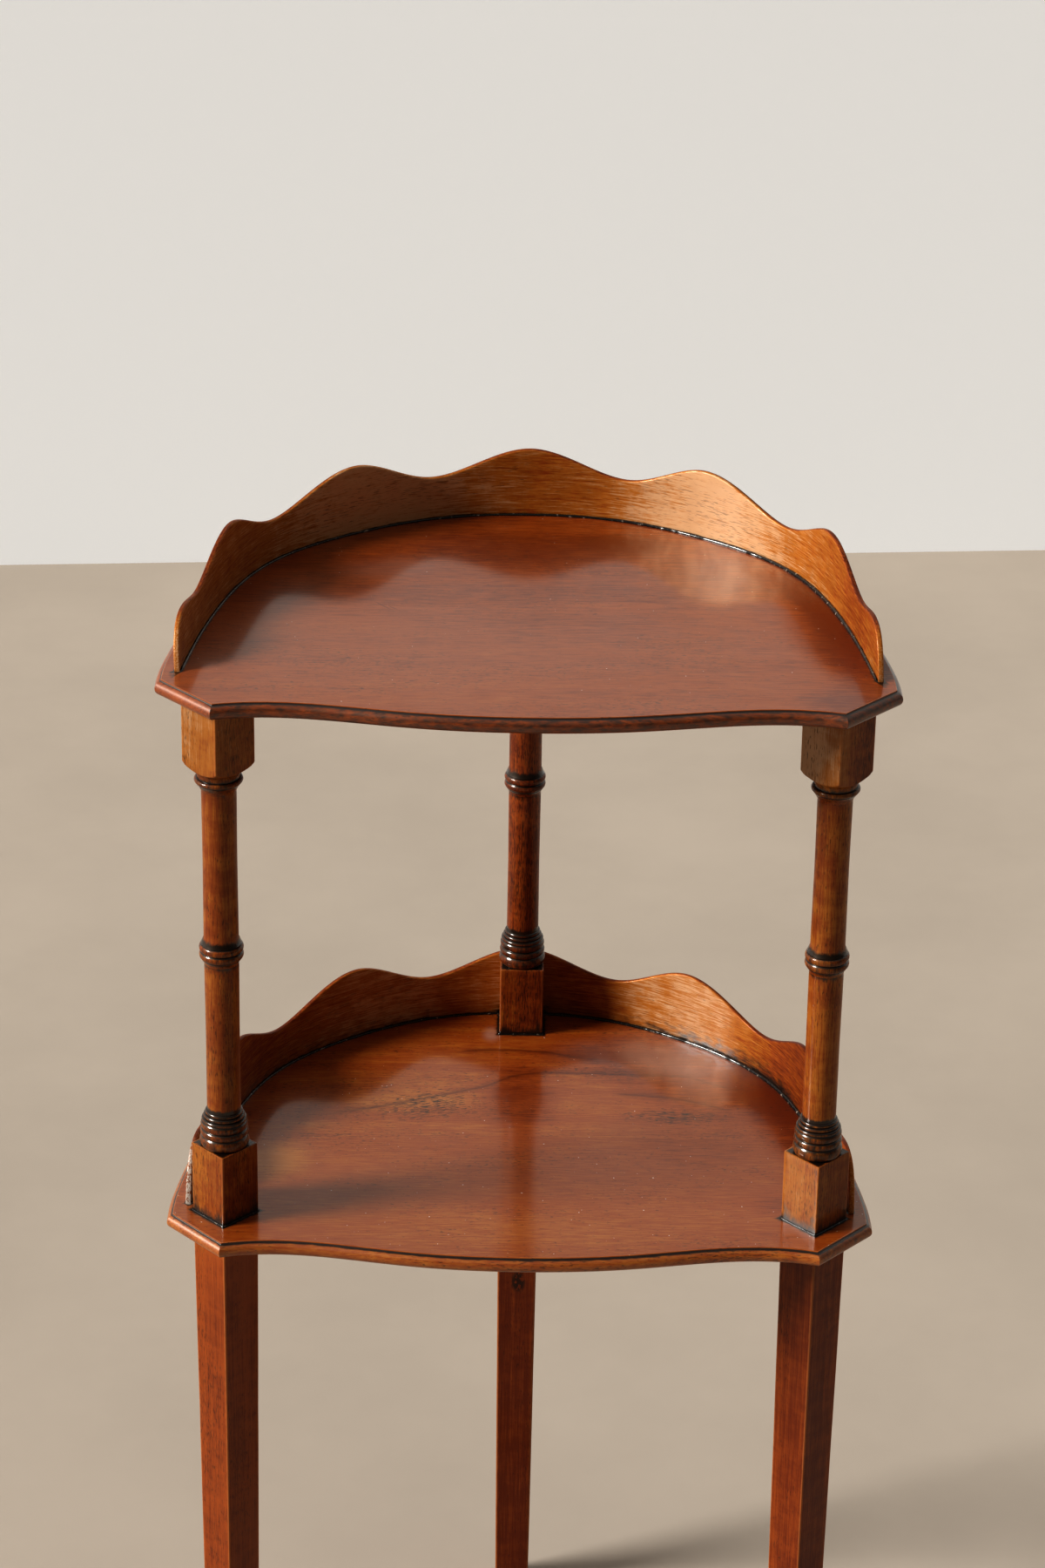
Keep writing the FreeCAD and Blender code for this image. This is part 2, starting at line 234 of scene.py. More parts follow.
def evenly(curve, count):
    """A line of points, sampled again at equal steps along it."""
    run = run_along(curve)
    wanted = np.linspace(0, run[-1], count)
    return np.stack([np.interp(wanted, run, curve[:, i]) for i in range(curve.shape[1])], 1)


def mirrored(half):
    """A half line from its end to the middle, followed by its mirror image."""
    return list(half) + [(-x, y) for x, y in reversed(half[:-1])]


def ways_out(line, closed=False):
    """Unit vectors square to a line of plan points, on its right."""
    if closed:
        along = np.roll(line, -1, axis=0) - np.roll(line, 1, axis=0)
    else:
        along = np.gradient(line, axis=0)
    along /= np.linalg.norm(along, axis=1)[:, None]
    return np.stack([along[:, 1], -along[:, 0]], 1)


class GalleryLine:
    """The inner face of the gallery in plan, looked up by distance from the middle of the back."""

    def __init__(self):
        self.points = through(mirrored(GALLERY_LINE), 4001)
        run = run_along(self.points)
        self.run = run - run[-1] / 2
        self.reach = run[-1] / 2
        self.out = ways_out(self.points)

    def beside(self, distance, offset):
        """Plan points at distances along the line, moved outwards by offsets."""
        return np.stack([
            np.interp(distance, self.run, self.points[:, i])
            + np.interp(distance, self.run, self.out[:, i]) * offset for i in (0, 1)], -1)


LINE = GalleryLine()


def swell(distance):
    """How much further out the shelf's edge stands at distances along the gallery line."""
    along = np.abs(distance)
    share = np.clip((along - SWELL_START) / (SWELL_PEAK - SWELL_START), 0.0, 1.0)
    past = np.clip((along - SWELL_PEAK) / (LINE.reach - SWELL_PEAK), 0.0, 1.0)
    return SWELL * share**2 * (3 - 2 * share) * (1 - past**2)


def beside_column(column, quarter, out, along):
    """A plan point beside one face of a column's square block: so far out, so far along."""
    x, y, turn = COLUMNS[column]
    a = math.radians(turn + 90 * quarter)
    return (x + out * math.cos(a) - along * math.sin(a),
            y + out * math.sin(a) + along * math.cos(a))


def wander(place, seed, size):
    """A smooth irregular value near zero at a place on one piece."""
    return size * noise.noise(Vector((place, seed * 13.7, seed * 3.1)))


# ---------------------------------------------------------------- meshes
MARKS = ("glaze", "wear", "tone")


def skin(rows, ends=False):
    """Vertices and faces for rows of points, each row a closed ring joined to the next.

    ends puts a face across the first ring and the last one.
    """
    rows = np.asarray(rows, float)
    count, width = rows.shape[:2]
    index = np.arange(count * width).reshape(count, width)
    ahead = np.roll(index, -1, axis=1)
    quads = np.stack([index[:-1], ahead[:-1], ahead[1:], index[1:]], -1).reshape(-1, 4)
    faces = quads.tolist()
    if ends:
        faces += [index[0].tolist(), index[-1, ::-1].tolist()]
    return rows.reshape(-1, 3), faces


def linked(name, mesh):
    """A new object in the scene with its mesh."""
    made = bpy.data.objects.new(name, mesh)
    bpy.context.collection.objects.link(made)
    return made


def make_piece(name, verts, faces, marks, grain, sharp):
    """A mesh object in the part's frame, given millimetres measured about the working origin.

    marks holds the glaze and wear of each vertex, and sometimes how much lighter it is than the
    rest, which is partly its wood and partly painted light and shade. grain is its place in its own
    board, with X along the fibres.
    """
    mesh = bpy.data.meshes.new(name)
    mesh.from_pydata([tuple(v) for v in verts], [], faces)
    tidy_normals(mesh)
    place_in_frame(mesh)
    add_marks(mesh, marks, grain)
    shade(mesh, sharp)
    return linked(name, mesh)


def tidy_normals(mesh):
    """Turns every face outwards."""
    shape = bmesh.new()
    shape.from_mesh(mesh)
    bmesh.ops.recalc_face_normals(shape, faces=shape.faces)
    shape.to_mesh(mesh)
    shape.free()


def place_in_frame(mesh):
    """Millimetres about the working origin become metres in the part's frame."""
    mesh.transform(Matrix.Translation((0, SHIFT_Y * MM, 0)) @ Matrix.Scale(MM, 4))


def add_marks(mesh, marks, grain):
    """Stores each vertex's glaze, wear, tone where there is one, and place in its board."""
    for label, values in zip(MARKS, marks):
        layer = mesh.attributes.new(label, "FLOAT", "POINT")
        layer.data.foreach_set("value", np.asarray(values, np.float32).ravel())
    layer = mesh.attributes.new("board", "FLOAT_VECTOR", "POINT")
    layer.data.foreach_set("vector", (np.asarray(grain, np.float32) * MM).ravel())


def shade(mesh, sharp):
    """Smooth shading, with edges over the given angle in degrees kept crisp."""
    mesh.shade_smooth()
    mesh.set_sharp_from_angle(angle=math.radians(sharp))


def hand_over(piece, nodes, material):
    """Dresses a piece, lets it stand for CAD nodes and fixes it to the table."""
    piece.data.materials.append(material)
    if nodes:
        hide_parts(*nodes)
    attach(piece, BODY)
    return piece


# ---------------------------------------------------------------- shelves
# How much darker the polish is painted over the nose where it faces right, away from the lamp:
# painted shade; on the left, towards the lamp, it is painted thinner: painted light
CANT_SHADE = 0.26
# The nose of a shelf, by height from its surface
NOSE_BAND = (-9.4, -0.4)
# The flat of a shelf within this much of the arris belongs to its edge
MARGIN = 2.4
# How far the dark wax runs along a gallery's foot, each way from the middle of the back
WAX_REACH = 349.0
# Dark polish beside a gallery and round a block: (distance from it, how dark) for each line
GALLERY_GRIME = [(-3.8, 0.0), (-1.6, 0.35), (-0.6, 1.0)]
BLOCK_GRIME = [(4.5, 0.0), (1.8, 0.4), (0.5, 1.0)]


# Points round the outline: along the back and sides, along the front, and across each cant
SIDE_POINTS = 360
FRONT_POINTS = 181
CANT_POINTS = 12


def arris_outline():
    """The outline of a shelf's flat top, with the way out at each point and its mitred corners.

    Returns plan points and outward vectors, whose length at a corner keeps the rim even.
    """
    rim = settings().shelf.rim / MM + settings().gallery.thickness / MM
    run = np.linspace(-LINE.reach, LINE.reach, SIDE_POINTS)
    side = LINE.beside(run, rim + swell(run))
    front = through(mirrored(FRONT_LINE), FRONT_POINTS)[::-1]
    order = []
    for line, ahead in ((side, front), (front, side)):
        cant = np.linspace(line[-1], ahead[0], CANT_POINTS)
        way = (ahead[0] - line[-1]) / np.linalg.norm(ahead[0] - line[-1])
        order += [(line, ways_out(line)), (cant, np.tile([way[1], -way[0]], (CANT_POINTS, 1)))]
    points, outs = [], []
    for i, (line, out) in enumerate(order):
        before = order[i - 1][1][-1]
        mitre = before + out[0]
        points.append(line[0])
        outs.append(mitre / (1 + before @ out[0]))
        points.extend(line[1:-1])
        outs.extend(out[1:-1])
    return np.array(points), np.array(outs)


# Steps round the nose
NOSE_STEPS = 16


def shelf_section(film):
    """The shelf's edge from its top to its underside: (offset, height, glaze, wear, tone) each.

    film is how dark the polish is over the nose.
    """
    arris = settings().shelf.arris / MM
    quirk = settings().shelf.quirk / MM
    section = [(-MARGIN, 0.0, 0.0, 0.0, 0.0), (-arris - 0.35, 0.0, 0.0, 0.30, 0.0)]
    quarter = [math.radians(22.5 * i) for i in range(5)]
    for i, turn in enumerate(quarter):
        section.append((arris * (math.sin(turn) - 1), arris * (math.cos(turn) - 1), 0.0,
                        0.85 - 0.15 * i, 0.0))
    for turn in quarter:
        section.append((0.9 * quirk * (1 - math.cos(turn)),
                        -STEP_HEIGHT - 0.15 + 0.9 * quirk * (1 - math.sin(turn)), 1.0, 0.0, 0.0))
    height = SHELF_THICKNESS - STEP_HEIGHT
    radius = (height**2 / 4 + NOSE_REACH**2) / (2 * NOSE_REACH)
    centre = NOSE_REACH - radius
    start = math.acos((quirk - centre) / radius)
    end = math.asin(height / 2 / radius)
    for i in range(NOSE_STEPS + 1):
        turn = start - (start + end) * i / NOSE_STEPS
        offset = centre + radius * math.cos(turn)
        level = -STEP_HEIGHT - height / 2 + radius * math.sin(turn)
        glaze = max(0.75 * film, 0.75 - 0.3 * i) + 0.30 * max(0.0, (i - 12) / 4)
        # The band of wear along the upper nose is partly worn polish and partly a painted highlight
        # where the lamp catches it.
        wear = math.exp(-((i - 3.5) / 1.8) ** 2) * 0.6
        section.append((offset, level, glaze, wear, 0.24 - 0.5 * film))
    section.append((-0.5, -SHELF_THICKNESS, 0.1, 0.1, 0.0))
    section.append((-MARGIN, -SHELF_THICKNESS, 0.0, 0.0, 0.0))
    return section


def grime_lines(blocks):
    """Lines on a shelf's flat top beside what stands on it: (plan points, closed, glaze) each.

    blocks are the columns whose square foot stands on this shelf.
    """
    thickness = settings().gallery.thickness / MM
    run = np.linspace(-WAX_REACH, WAX_REACH, 240)
    lines = []
    for offset, dark in GALLERY_GRIME:
        lines.append((LINE.beside(run, offset), False, dark))
        lines.append((LINE.beside(run, thickness - 0.6 * offset), False, dark))
    for column in blocks:
        for reach, dark in BLOCK_GRIME:
            half = BASE_BLOCK_SIDE / 2 + reach
            ring = [beside_column(column, quarter, half, share * half)
                    for quarter in range(4) for share in np.linspace(-1, 1, 9)[:-1]]
            lines.append((np.array(ring), True, dark))
    return lines


def flat_top(ring, lines):
    """Triangles over a flat top whose edge is a ring of points, following the lines on it.

    Returns the points inside the ring, their glaze, and faces that count the ring's points first.
    """
    points = [Vector(p) for p in ring]
    edges = [(i, (i + 1) % len(ring)) for i in range(len(ring))]
    dark = {}
    for line, closed, glaze in lines:
        first = len(points)
        for i, point in enumerate(line):
            points.append(Vector(point))
            dark[first + i] = glaze
            if i + 1 < len(line):
                edges.append((first + i, first + i + 1))
        if closed:
            edges.append((len(points) - 1, first))
    made, _, faces, origin, _, _ = delaunay_2d_cdt(points, edges, [], 1, 1e-4)
    number, inside, glazes = {}, [], []
    for i, sources in enumerate(origin):
        on_ring = [j for j in sources if j < len(ring)]
        if on_ring:
            number[i] = on_ring[0]
        else:
            number[i] = len(ring) + len(inside)
            inside.append(made[i])
            glazes.append(max((dark[j] for j in sources), default=0.4))
    return inside, glazes, [[number[i] for i in face] for face in faces]


def shelf_blank(surface, blocks, film):
    """A whole shelf as a bmesh, with its glaze, wear and tone in layers of those names."""
    points, outs = arris_outline()
    section = shelf_section(film)
    rows = []
    for offset, height, *_ in section:
        level = np.full((len(points), 1), surface + height)
        rows.append(np.hstack([points + outs * offset, level]))
    verts, faces = skin(rows)
    width = len(points)
    faces.append(list(range(len(verts) - width, len(verts))))
    whole = bmesh.new()
    layers = [whole.verts.layers.float.new(label) for label in MARKS]
    made = [whole.verts.new(v) for v in verts]
    # Painted shade on the nose where it faces right and painted light where it faces left, towards
    # the lamp.
    side_shade = np.interp(outs[:, 0], [-0.7, -0.3, 0.0, 0.6], [
        -0.5 * film, 0.0, 0.0, CANT_SHADE * (1 - 1.7 * film)])
    for i, vert in enumerate(made):
        row, place = divmod(i, width)
        for layer, value in zip(layers, section[row][2:]):
            vert[layer] = value
        if section[row][0] > 0.1:
            vert[layers[0]] += side_shade[place]
    inside, dark, top = flat_top(verts[:width, :2], grime_lines(blocks))
    crown = made[:width]
    for point, value in zip(inside, dark):
        vert = whole.verts.new((point.x, point.y, surface))
        vert[layers[0]] = value
        crown.append(vert)
    for face in faces:
        whole.faces.new([made[i] for i in face])
    for face in top:
        whole.faces.new([crown[i] for i in face])
    return whole


def shelf_boards(name, surface, seam, shift, blocks, film):
    """The front and back boards of one shelf, cut apart along the seam.

    The faces of the nose take the second material.
    """
    whole = shelf_blank(surface, blocks, film)
    boards = {}
    for part, side in (("front", 1), ("back", -1)):
        half = whole.copy()
        bmesh.ops.bisect_plane(
            half, geom=half.verts[:] + half.edges[:] + half.faces[:], dist=1e-5,
            plane_co=(0, seam, 0), plane_no=(0, side, 0), clear_outer=True)
        bmesh.ops.holes_fill(half, edges=[e for e in half.edges if e.is_boundary], sides=0)
        bmesh.ops.recalc_face_normals(half, faces=half.faces)
        layers = half.verts.layers.float
        marks = [[vert[layers[label]] for vert in half.verts] for label in MARKS]
        grain = [(v.co.x + shift[part][0], v.co.y - seam + shift[part][1],
                  v.co.z - surface + shift[part][2]) for v in half.verts]
        for label in MARKS:
            layers.remove(layers[label])
        title = f"{name}_{part}_board"
        mesh = bpy.data.meshes.new(title)
        half.to_mesh(mesh)
        half.free()
        for face in mesh.polygons:
            on_nose = NOSE_BAND[0] < face.center.z - surface < NOSE_BAND[1]
            face.material_index = int(on_nose and abs(face.normal.z) < 0.99)
        place_in_frame(mesh)
        add_marks(mesh, marks, grain)
        shade(mesh, 26.0)
        boards[part] = linked(title, mesh)
    whole.free()
    return boards


# ---------------------------------------------------------------- galleries
EDGE_POINTS = 420


def scallop_edge(growth):
    """Distances along the gallery line with the gallery's height at each, evenly spaced."""
    half = [(distance, height * growth) for distance, height in reversed(SCALLOPS)]
    edge = through(mirrored(half), EDGE_POINTS)
    edge[:, 1] = np.maximum(edge[:, 1], 0.0)
    return edge


# How light each strip is painted, by distance along it from the middle of the back, which is
# below zero on the right and above zero on the left: partly the wood's own golden figure, partly a
# painted highlight where the strip faces the lamp and painted light where it faces away from it
STRIP_TONE_AND_LIGHT = {
    "top": [
        (-350, -0.04), (-325, -0.02), (-290, -0.28), (-250, 0.0), (-215, 0.20), (-180, 0.38),
        (-150, 0.84), (-110, 1.00), (-76, 0.76), (-45, 0.16), (0, 0.10), (40, 0.56), (75, 1.0),
        (115, 1.0), (160, 0.60), (200, 0.18), (300, 0.20), (350, 0.25),
    ],
    "lower": [
        (-350, -0.10), (-250, -0.42), (-215, -0.40), (-180, -0.26), (-148, 0.26), (-110, 0.60),
        (-76, 0.36), (-45, -0.12), (0, 0.30), (40, 0.20), (75, 0.66), (115, 0.50), (160, 0.12),
        (200, -0.15), (250, 0.05), (350, 0.0),
    ],
}
# How worn and how dark the rounded edge of a strip is, from its inner face to the middle
EDGE_WEAR = [0.0, 0.75, 0.55, 0.2, 0.1, 0.1]
EDGE_TONE = [0.0, -0.1, -0.3, -0.5, -0.6, -0.6]
EDGE_SIDES = len(EDGE_WEAR) - 1
# How much of that wear there is by distance along the strip, and how much of that dark by distance
# from the middle of the back, either way
EDGE_RUBBED = [(-345, 1.3), (-335, 1.0), (-300, 0.8), (60, 0.9), (130, 0.45), (300, 0.45),
               (335, 1.2)]
EDGE_SHADED = [(325, 1.0), (340, -0.6)]
STRIP_LEVELS = [0.0, 0.8, 2.0, 4.0, 8.0, 13.0, 19.0, 26.0, 34.0]
# How high the dark polish stands along the foot of a strip
FOOT_GRIME = 1.6
# The darkening behind the back block, towards the foot of the strip: half its width, and how it
# dies away along and up the strip
BLOCK_REACH = 13.0
BLOCK_SPREAD = (9.0, 7.0)
# The darkening further along the lower strip, towards its foot: where it starts, how it dies away
# upwards, and how strong it is by distance
FOOT_DARKENING_START = 60
FOOT_DARKENING_SPREAD = 11.0
FOOT_DARKENING = [(-250, 0), (-210, 1), (-130, 1), (-60, 0.6)]
# The outer face is as dark as the inner one would be this far along
OUTER_FACE = 400.0
# Leans and tremors are given for a strip of this height
COMMON_HEIGHT = 40.0
# The ends of a strip start to lean this far from the middle of the back, over a stretch this long
LEAN_START = 230.0
LEAN_RUN = 120.0


def looked_up(place, table):
    """A value from a table of (place, value), evenly graded between its lines."""
    return float(np.interp(place, *zip(*table)))


def foot_grime(level):
    """The dark polish that has gathered along the foot of a gallery."""
    return max(0.0, 1.0 - level / FOOT_GRIME)


def foot_glaze_and_darkening(distance, level, foot_darkened):
    """The same, and on a strip with a darkened foot, darker further up it beside the back block and
    along its right side.
    """
    if not foot_darkened:
        return foot_grime(level)
    reach = max(0.0, abs(distance) - BLOCK_REACH)
    darkening = math.exp(-reach / BLOCK_SPREAD[0]) * math.exp(-level / BLOCK_SPREAD[1])
    if abs(distance) > FOOT_DARKENING_START:
        darkening = 0.70 * math.exp(-level / FOOT_DARKENING_SPREAD) * looked_up(distance, FOOT_DARKENING)
    return max(foot_grime(level), 0.9 * darkening)


def strip_section(distance, height, foot_darkened, tones):
    """The strip cut across at a place along it: (offset, level, glaze, wear, tone) each."""
    thickness = settings().gallery.thickness / MM
    round_over = settings().gallery.round_over / MM
    ease = min(round_over, 0.45 * thickness, 0.5 * (height + GALLERY_GROOVE))
    cap = max(height - ease, 0.05)
    count = len(STRIP_LEVELS)
    levels = [min(level, cap * i / count) for i, level in enumerate(STRIP_LEVELS)]
    face = looked_up(distance, tones)
    rubbed = looked_up(distance, EDGE_RUBBED)
    shaded = looked_up(abs(distance), EDGE_SHADED)
    section = [(0.0, -GALLERY_GROOVE, 1.0, 0.0, face)]
    for level in levels:
        section.append((0.0, level, foot_glaze_and_darkening(distance, level, foot_darkened), 0.0, face))
    turns = [math.pi / 2 * i / EDGE_SIDES for i in range(EDGE_SIDES + 1)]
    for i, turn in enumerate(turns):
        section.append((ease * (1 - math.cos(turn)), height - ease * (1 - math.sin(turn)),
                        0.0, rubbed * EDGE_WEAR[i], face + shaded * EDGE_TONE[i]))
    for i, turn in enumerate(turns):
        section.append((thickness - ease * (1 - math.sin(turn)),
                        height - ease * (1 - math.cos(turn)), 0.07 * i * shaded,
                        rubbed * EDGE_WEAR[EDGE_SIDES - i], shaded * EDGE_TONE[EDGE_SIDES]))
    for level in levels[::-1]:
        section.append((
            thickness, level, foot_glaze_and_darkening(OUTER_FACE, level, foot_darkened), 0.0, -0.15))
    section.append((thickness, -GALLERY_GROOVE, 1.0, 0.0, 0.0))
    return section


def gallery_piece(name, surface, growth, leans, shift, seed, foot_darkened, tones):
    """The bent strip, with a rounded scalloped edge and a foot that stands in its groove.

    leans gives how far the left and right ends lean outwards at their top.
    """
    rows, glaze, wear, tone, grain = [], [], [], [], []
    for distance, height in scallop_edge(growth):
        section = strip_section(distance, height, foot_darkened, tones)
        lean = leans[0] if distance > 0 else leans[1]
        lean *= max(0.0, (abs(distance) - LEAN_START) / LEAN_RUN) ** 1.5
        ring = []
        for offset, level, dark, rub, light in section:
            out = offset + lean * max(level, 0.0) / COMMON_HEIGHT
            out += wander(distance / 60.0, seed, 0.35) * max(level, 0.0) / COMMON_HEIGHT
            x, y = LINE.beside(distance, out)
            ring.append((x, y, surface + level))
            glaze.append(dark)
            wear.append(rub)
            tone.append(light)
            grain.append((distance + shift[0], level + shift[1], offset + shift[2]))
        rows.append(ring)
    verts, faces = skin(rows, True)
    return make_piece(name, verts, faces, (glaze, wear, tone), grain, 40.0)


# ---------------------------------------------------------------- uprights and legs
def corner_angles():
    """Angles round a square bar, close together at its four corners."""
    face = np.linspace(0, 43.4, 13)
    corner = np.linspace(43.4, 45.0, 4)[1:]
    octant = np.concatenate([face, corner])
    quarter = np.concatenate([-octant[::-1], octant[1:]])[:-1]
    return np.radians(np.concatenate([quarter + turn for turn in (0, 90, 180, 270)]))


ANGLES = corner_angles()
# The same, each measured from the middle of its own face
FOLDED = np.abs((ANGLES + math.pi / 4) % (math.pi / 2) - math.pi / 4)
# A ring with no glaze or wear, and the radius that all but closes the end of a bore or a foot
CLEAN = np.zeros(len(ANGLES))
TIP_RADIUS = 0.05


def square_radius(side, arris):
    """How far a square bar with rounded corners reaches at each of ANGLES."""
    half = side / 2
    flat = half / np.cos(FOLDED)
    ahead = (half - arris) * (np.cos(FOLDED) + np.sin(FOLDED))
    spread = 2 * (half - arris) ** 2
    arc = ahead + np.sqrt(np.maximum(arris**2 - spread + ahead**2, 0.0))
    return np.where(half * np.tan(FOLDED) > half - arris, arc, flat)


# The worn arris of a square bar, in degrees from the middle of a face: where it starts, its width
ARRIS_START = 41.5
ARRIS_WIDTH = 1.9
# Steps down each arc of the turning, and the longest step down a straight run
ARC_STEPS = 10
STRAIGHT_STEP = 4.0


def corner_wear():
    """How worn a square bar is at each of ANGLES: 1 along its arrises."""
    return np.clip((np.degrees(FOLDED) - ARRIS_START) / ARRIS_WIDTH, 0.0, 1.0)


def turned_rows(stations):
    """Depths and radii down a turned profile, close together at the ends of each arc."""
    rows = [(stations[0][0], stations[0][1])]
    for station in stations[1:]:
        top, radius = rows[-1]
        depth, end = station[0], station[1]
        if len(station) == 3:
            middle, bulge = (top + depth) / 2, station[2]
            a = np.array([[top, radius, 1], [middle, bulge, 1], [depth, end, 1]], float)
            square = -(a[:, 0] ** 2 + a[:, 1] ** 2)
            p, q, r = np.linalg.solve(a, square)
            centre = (-p / 2, -q / 2)
            size = math.sqrt(centre[0] ** 2 + centre[1] ** 2 - r)
            first = math.atan2(radius - centre[1], top - centre[0])
            last = math.atan2(end - centre[1], depth - centre[0])
            through_turn = math.atan2(bulge - centre[1], middle - centre[0])
            if (first - through_turn) * (through_turn - last) < 0:
                last += math.copysign(2 * math.pi, first - last)
            for i in range(1, ARC_STEPS + 1):
                share = (1 - math.cos(math.pi * i / ARC_STEPS)) / 2
                turn = first + (last - first) * share
                rows.append((centre[0] + size * math.cos(turn),
                             centre[1] + size * math.sin(turn)))
        else:
            pieces = max(1, int((depth - top) / STRAIGHT_STEP))
            for i in range(1, pieces + 1):
                rows.append((top + (depth - top) * i / pieces,
                             radius + (end - radius) * i / pieces))
    return rows


def groove_glaze(depth):
    """How dark the polish is at a depth below the top surface."""
    return max(dark * math.exp(-(((depth - at) / GROOVE_REACH) ** 2)) for at, dark in GROOVES)


def bead_glaze(depth):
    """The broad dark film that lies over the turned beads."""
    film = 0.0
    for low, high, dark in DARK_BEADS:
        reach = min(depth - low, high - depth)
        film = max(film, dark * min(max(reach / 1.5 + 0.3, 0.0), 1.0))
    return film


def bore_rows(bore, mouth, way):
    """Rows that line a blind hole from its mouth to its end, upwards or downwards."""
    radius, deep = bore
    end = mouth + way * deep
    return [(level, CLEAN + reach, CLEAN, CLEAN)
            for level, reach in ((mouth, radius), (end, radius), (end, TIP_RADIUS))]


# Rows down the top block, and down the base block from its top: (depth, how dark)
TOP_BLOCK_ROWS = [(9.7, 1.0), (10.3, 0.6), (12.0, 0.0), (20.0, 0.0), (30.0, 0.0), (40.0, 0.0)]
BASE_BLOCK_ROWS = [(2.0, 0.0), (8.0, 0.0), (20.0, 0.0), (32.0, 0.08), (40.0, 0.24), (44.2, 0.45),
                   (45.4, 1.0)]
# Where the shoulder under the top block begins: its depth, and its radius before it meets the block
SHOULDER_DEPTH = 50.0
SHOULDER_HEAD = (50.4, 24.0)
SHOULDER_ROWS = 44
# How far the shoulder and the block melt into one another
MELT = 0.35
# The radius of the last turned bead, where it sits on the base block
LAST_BEAD = 13.1


def shoulder_rows(block, rubbed):
    """Rows down the shoulder, where the square block is turned round."""
    stations = [SHOULDER_HEAD] + turned_rows(SHOULDER)
    levels = np.array([TOP_SURFACE - depth for depth, _ in stations])
    sizes = np.array([radius for _, radius in stations])
    rows = []
    for level in np.linspace(TOP_SURFACE - SHOULDER_DEPTH, TOP_SURFACE - NECK_DEPTH,
                             SHOULDER_ROWS):
        ring = np.interp(-level, -levels, sizes)
        gap = block - ring
        blend = np.clip(0.5 + gap / (2 * MELT), 0, 1)
        radii = block * (1 - blend) + ring * blend - MELT * blend * (1 - blend)
        depth = TOP_SURFACE - level
        dark = groove_glaze(depth) + 0.35 * max(0.0, (depth - 51.0) / 9.0)
        edge = np.exp(-((gap / 0.5) ** 2))
        rows.append((level, radii, CLEAN + dark, np.maximum(rubbed * (gap < 0), 0.8 * edge)))
    return rows


def column_rows():
    """(height, radii, glaze, wear) down an upright: bore, top block, turning, base block, bore."""
    arris = settings().column.block_arris / MM
    top = square_radius(TOP_BLOCK_SIDE, arris)
    base = square_radius(BASE_BLOCK_SIDE, arris)
    rubbed = corner_wear()
    edges = 0.2 * np.clip((np.degrees(FOLDED) - 24.0) / 16.0, 0.0, 1.0) * (1 - rubbed)
    underside = TOP_SURFACE - SHELF_THICKNESS
    rows = bore_rows(TOP_BORE, underside, -1)[::-1]
    rows.append((underside, top - 0.15, CLEAN + 1.0, CLEAN))
    for depth, dark in TOP_BLOCK_ROWS:
        rows.append((TOP_SURFACE - depth, top, edges + dark, rubbed))
    rows += shoulder_rows(top, rubbed)
    for depth, radius in turned_rows([(NECK_DEPTH, 12.3)] + TURNED)[1:]:
        dark = min(groove_glaze(depth) + bead_glaze(depth), 1.0)
        rows.append((TOP_SURFACE - depth, CLEAN + radius, CLEAN + dark, CLEAN))
    level = TOP_SURFACE - (TIER_SPACING - BASE_BLOCK_HEIGHT)
    rows += [
        (level, np.maximum(base - 1.2, LAST_BEAD), CLEAN + 0.42, CLEAN),
        (level, np.maximum(base - 0.35, LAST_BEAD), CLEAN + 0.1, 0.5 * rubbed + 0.5),
        (level - 0.12, base - 0.1, CLEAN, CLEAN + 0.9),
        (level - 0.4, base, CLEAN, 0.4 * rubbed + 0.4),
    ]
    for drop, dark in BASE_BLOCK_ROWS:
        rows.append((level - drop, base, edges + dark, rubbed))
    rows.append((LOWER_SURFACE, base, CLEAN + 1.0, CLEAN))
    return rows + bore_rows(BASE_BORE, LOWER_SURFACE, 1)


def leg_rows():
    """(height, radii, glaze, wear) down a tapered leg, from its bore to its foot."""
    arris = settings().column.leg_arris / MM
    rubbed = corner_wear()
    top = LOWER_SURFACE - SHELF_THICKNESS
    rows = bore_rows(LEG_BORE, top, -1)[::-1]
    head = [top, top - 0.5, top - 1.5, top - 4]
    for level in (*head, *np.linspace(top - 20, 12, 26), 3.0, 0.8, 0.0):
        side = LEG_FOOT_SIDE + (LEG_TOP_SIDE - LEG_FOOT_SIDE) * level / top
        if level == 0.0:
            side -= 1.0
        dark = 1.0 if level > top - 1 else 0.5 * max(0.0, 1 - level / 3.0)
        rows.append((level, square_radius(side, arris), CLEAN + dark, rubbed))
    rows.append((0.0, CLEAN + TIP_RADIUS, CLEAN, CLEAN))
    return rows


BASE_BLOCK_TOP = LOWER_SURFACE + BASE_BLOCK_HEIGHT
NECK = TOP_SURFACE - NECK_DEPTH
# How light the wood of an upright is, by height
UPRIGHT_TONES = [(BASE_BLOCK_TOP, 0.04), (BASE_BLOCK_TOP + 1, 0.02), (NECK, -0.02),
                 (NECK + 4, 0.12), (NECK + 16, 0.34)]
# How much lighter an upright is painted on its left, towards the lamp, and darker on its right, by
# height: painted light and shade
UPRIGHT_SIDE_LIGHT = {
    column: [(BASE_BLOCK_TOP, 0.18), (BASE_BLOCK_TOP + 1, -0.06), (NECK, -0.06), (NECK + 6, block)]
    for column, block in (("left_front", 0.10), ("right_front", 0.70), ("back", 0.10))
}
# How light the wood of each leg is, by height
EVEN = [(0, 0.0)]
LEG_TONES = {"left_front": [(370, 0.02), (395, 0.10), (422, 0.26)], "right_front": EVEN,
             "back": EVEN}


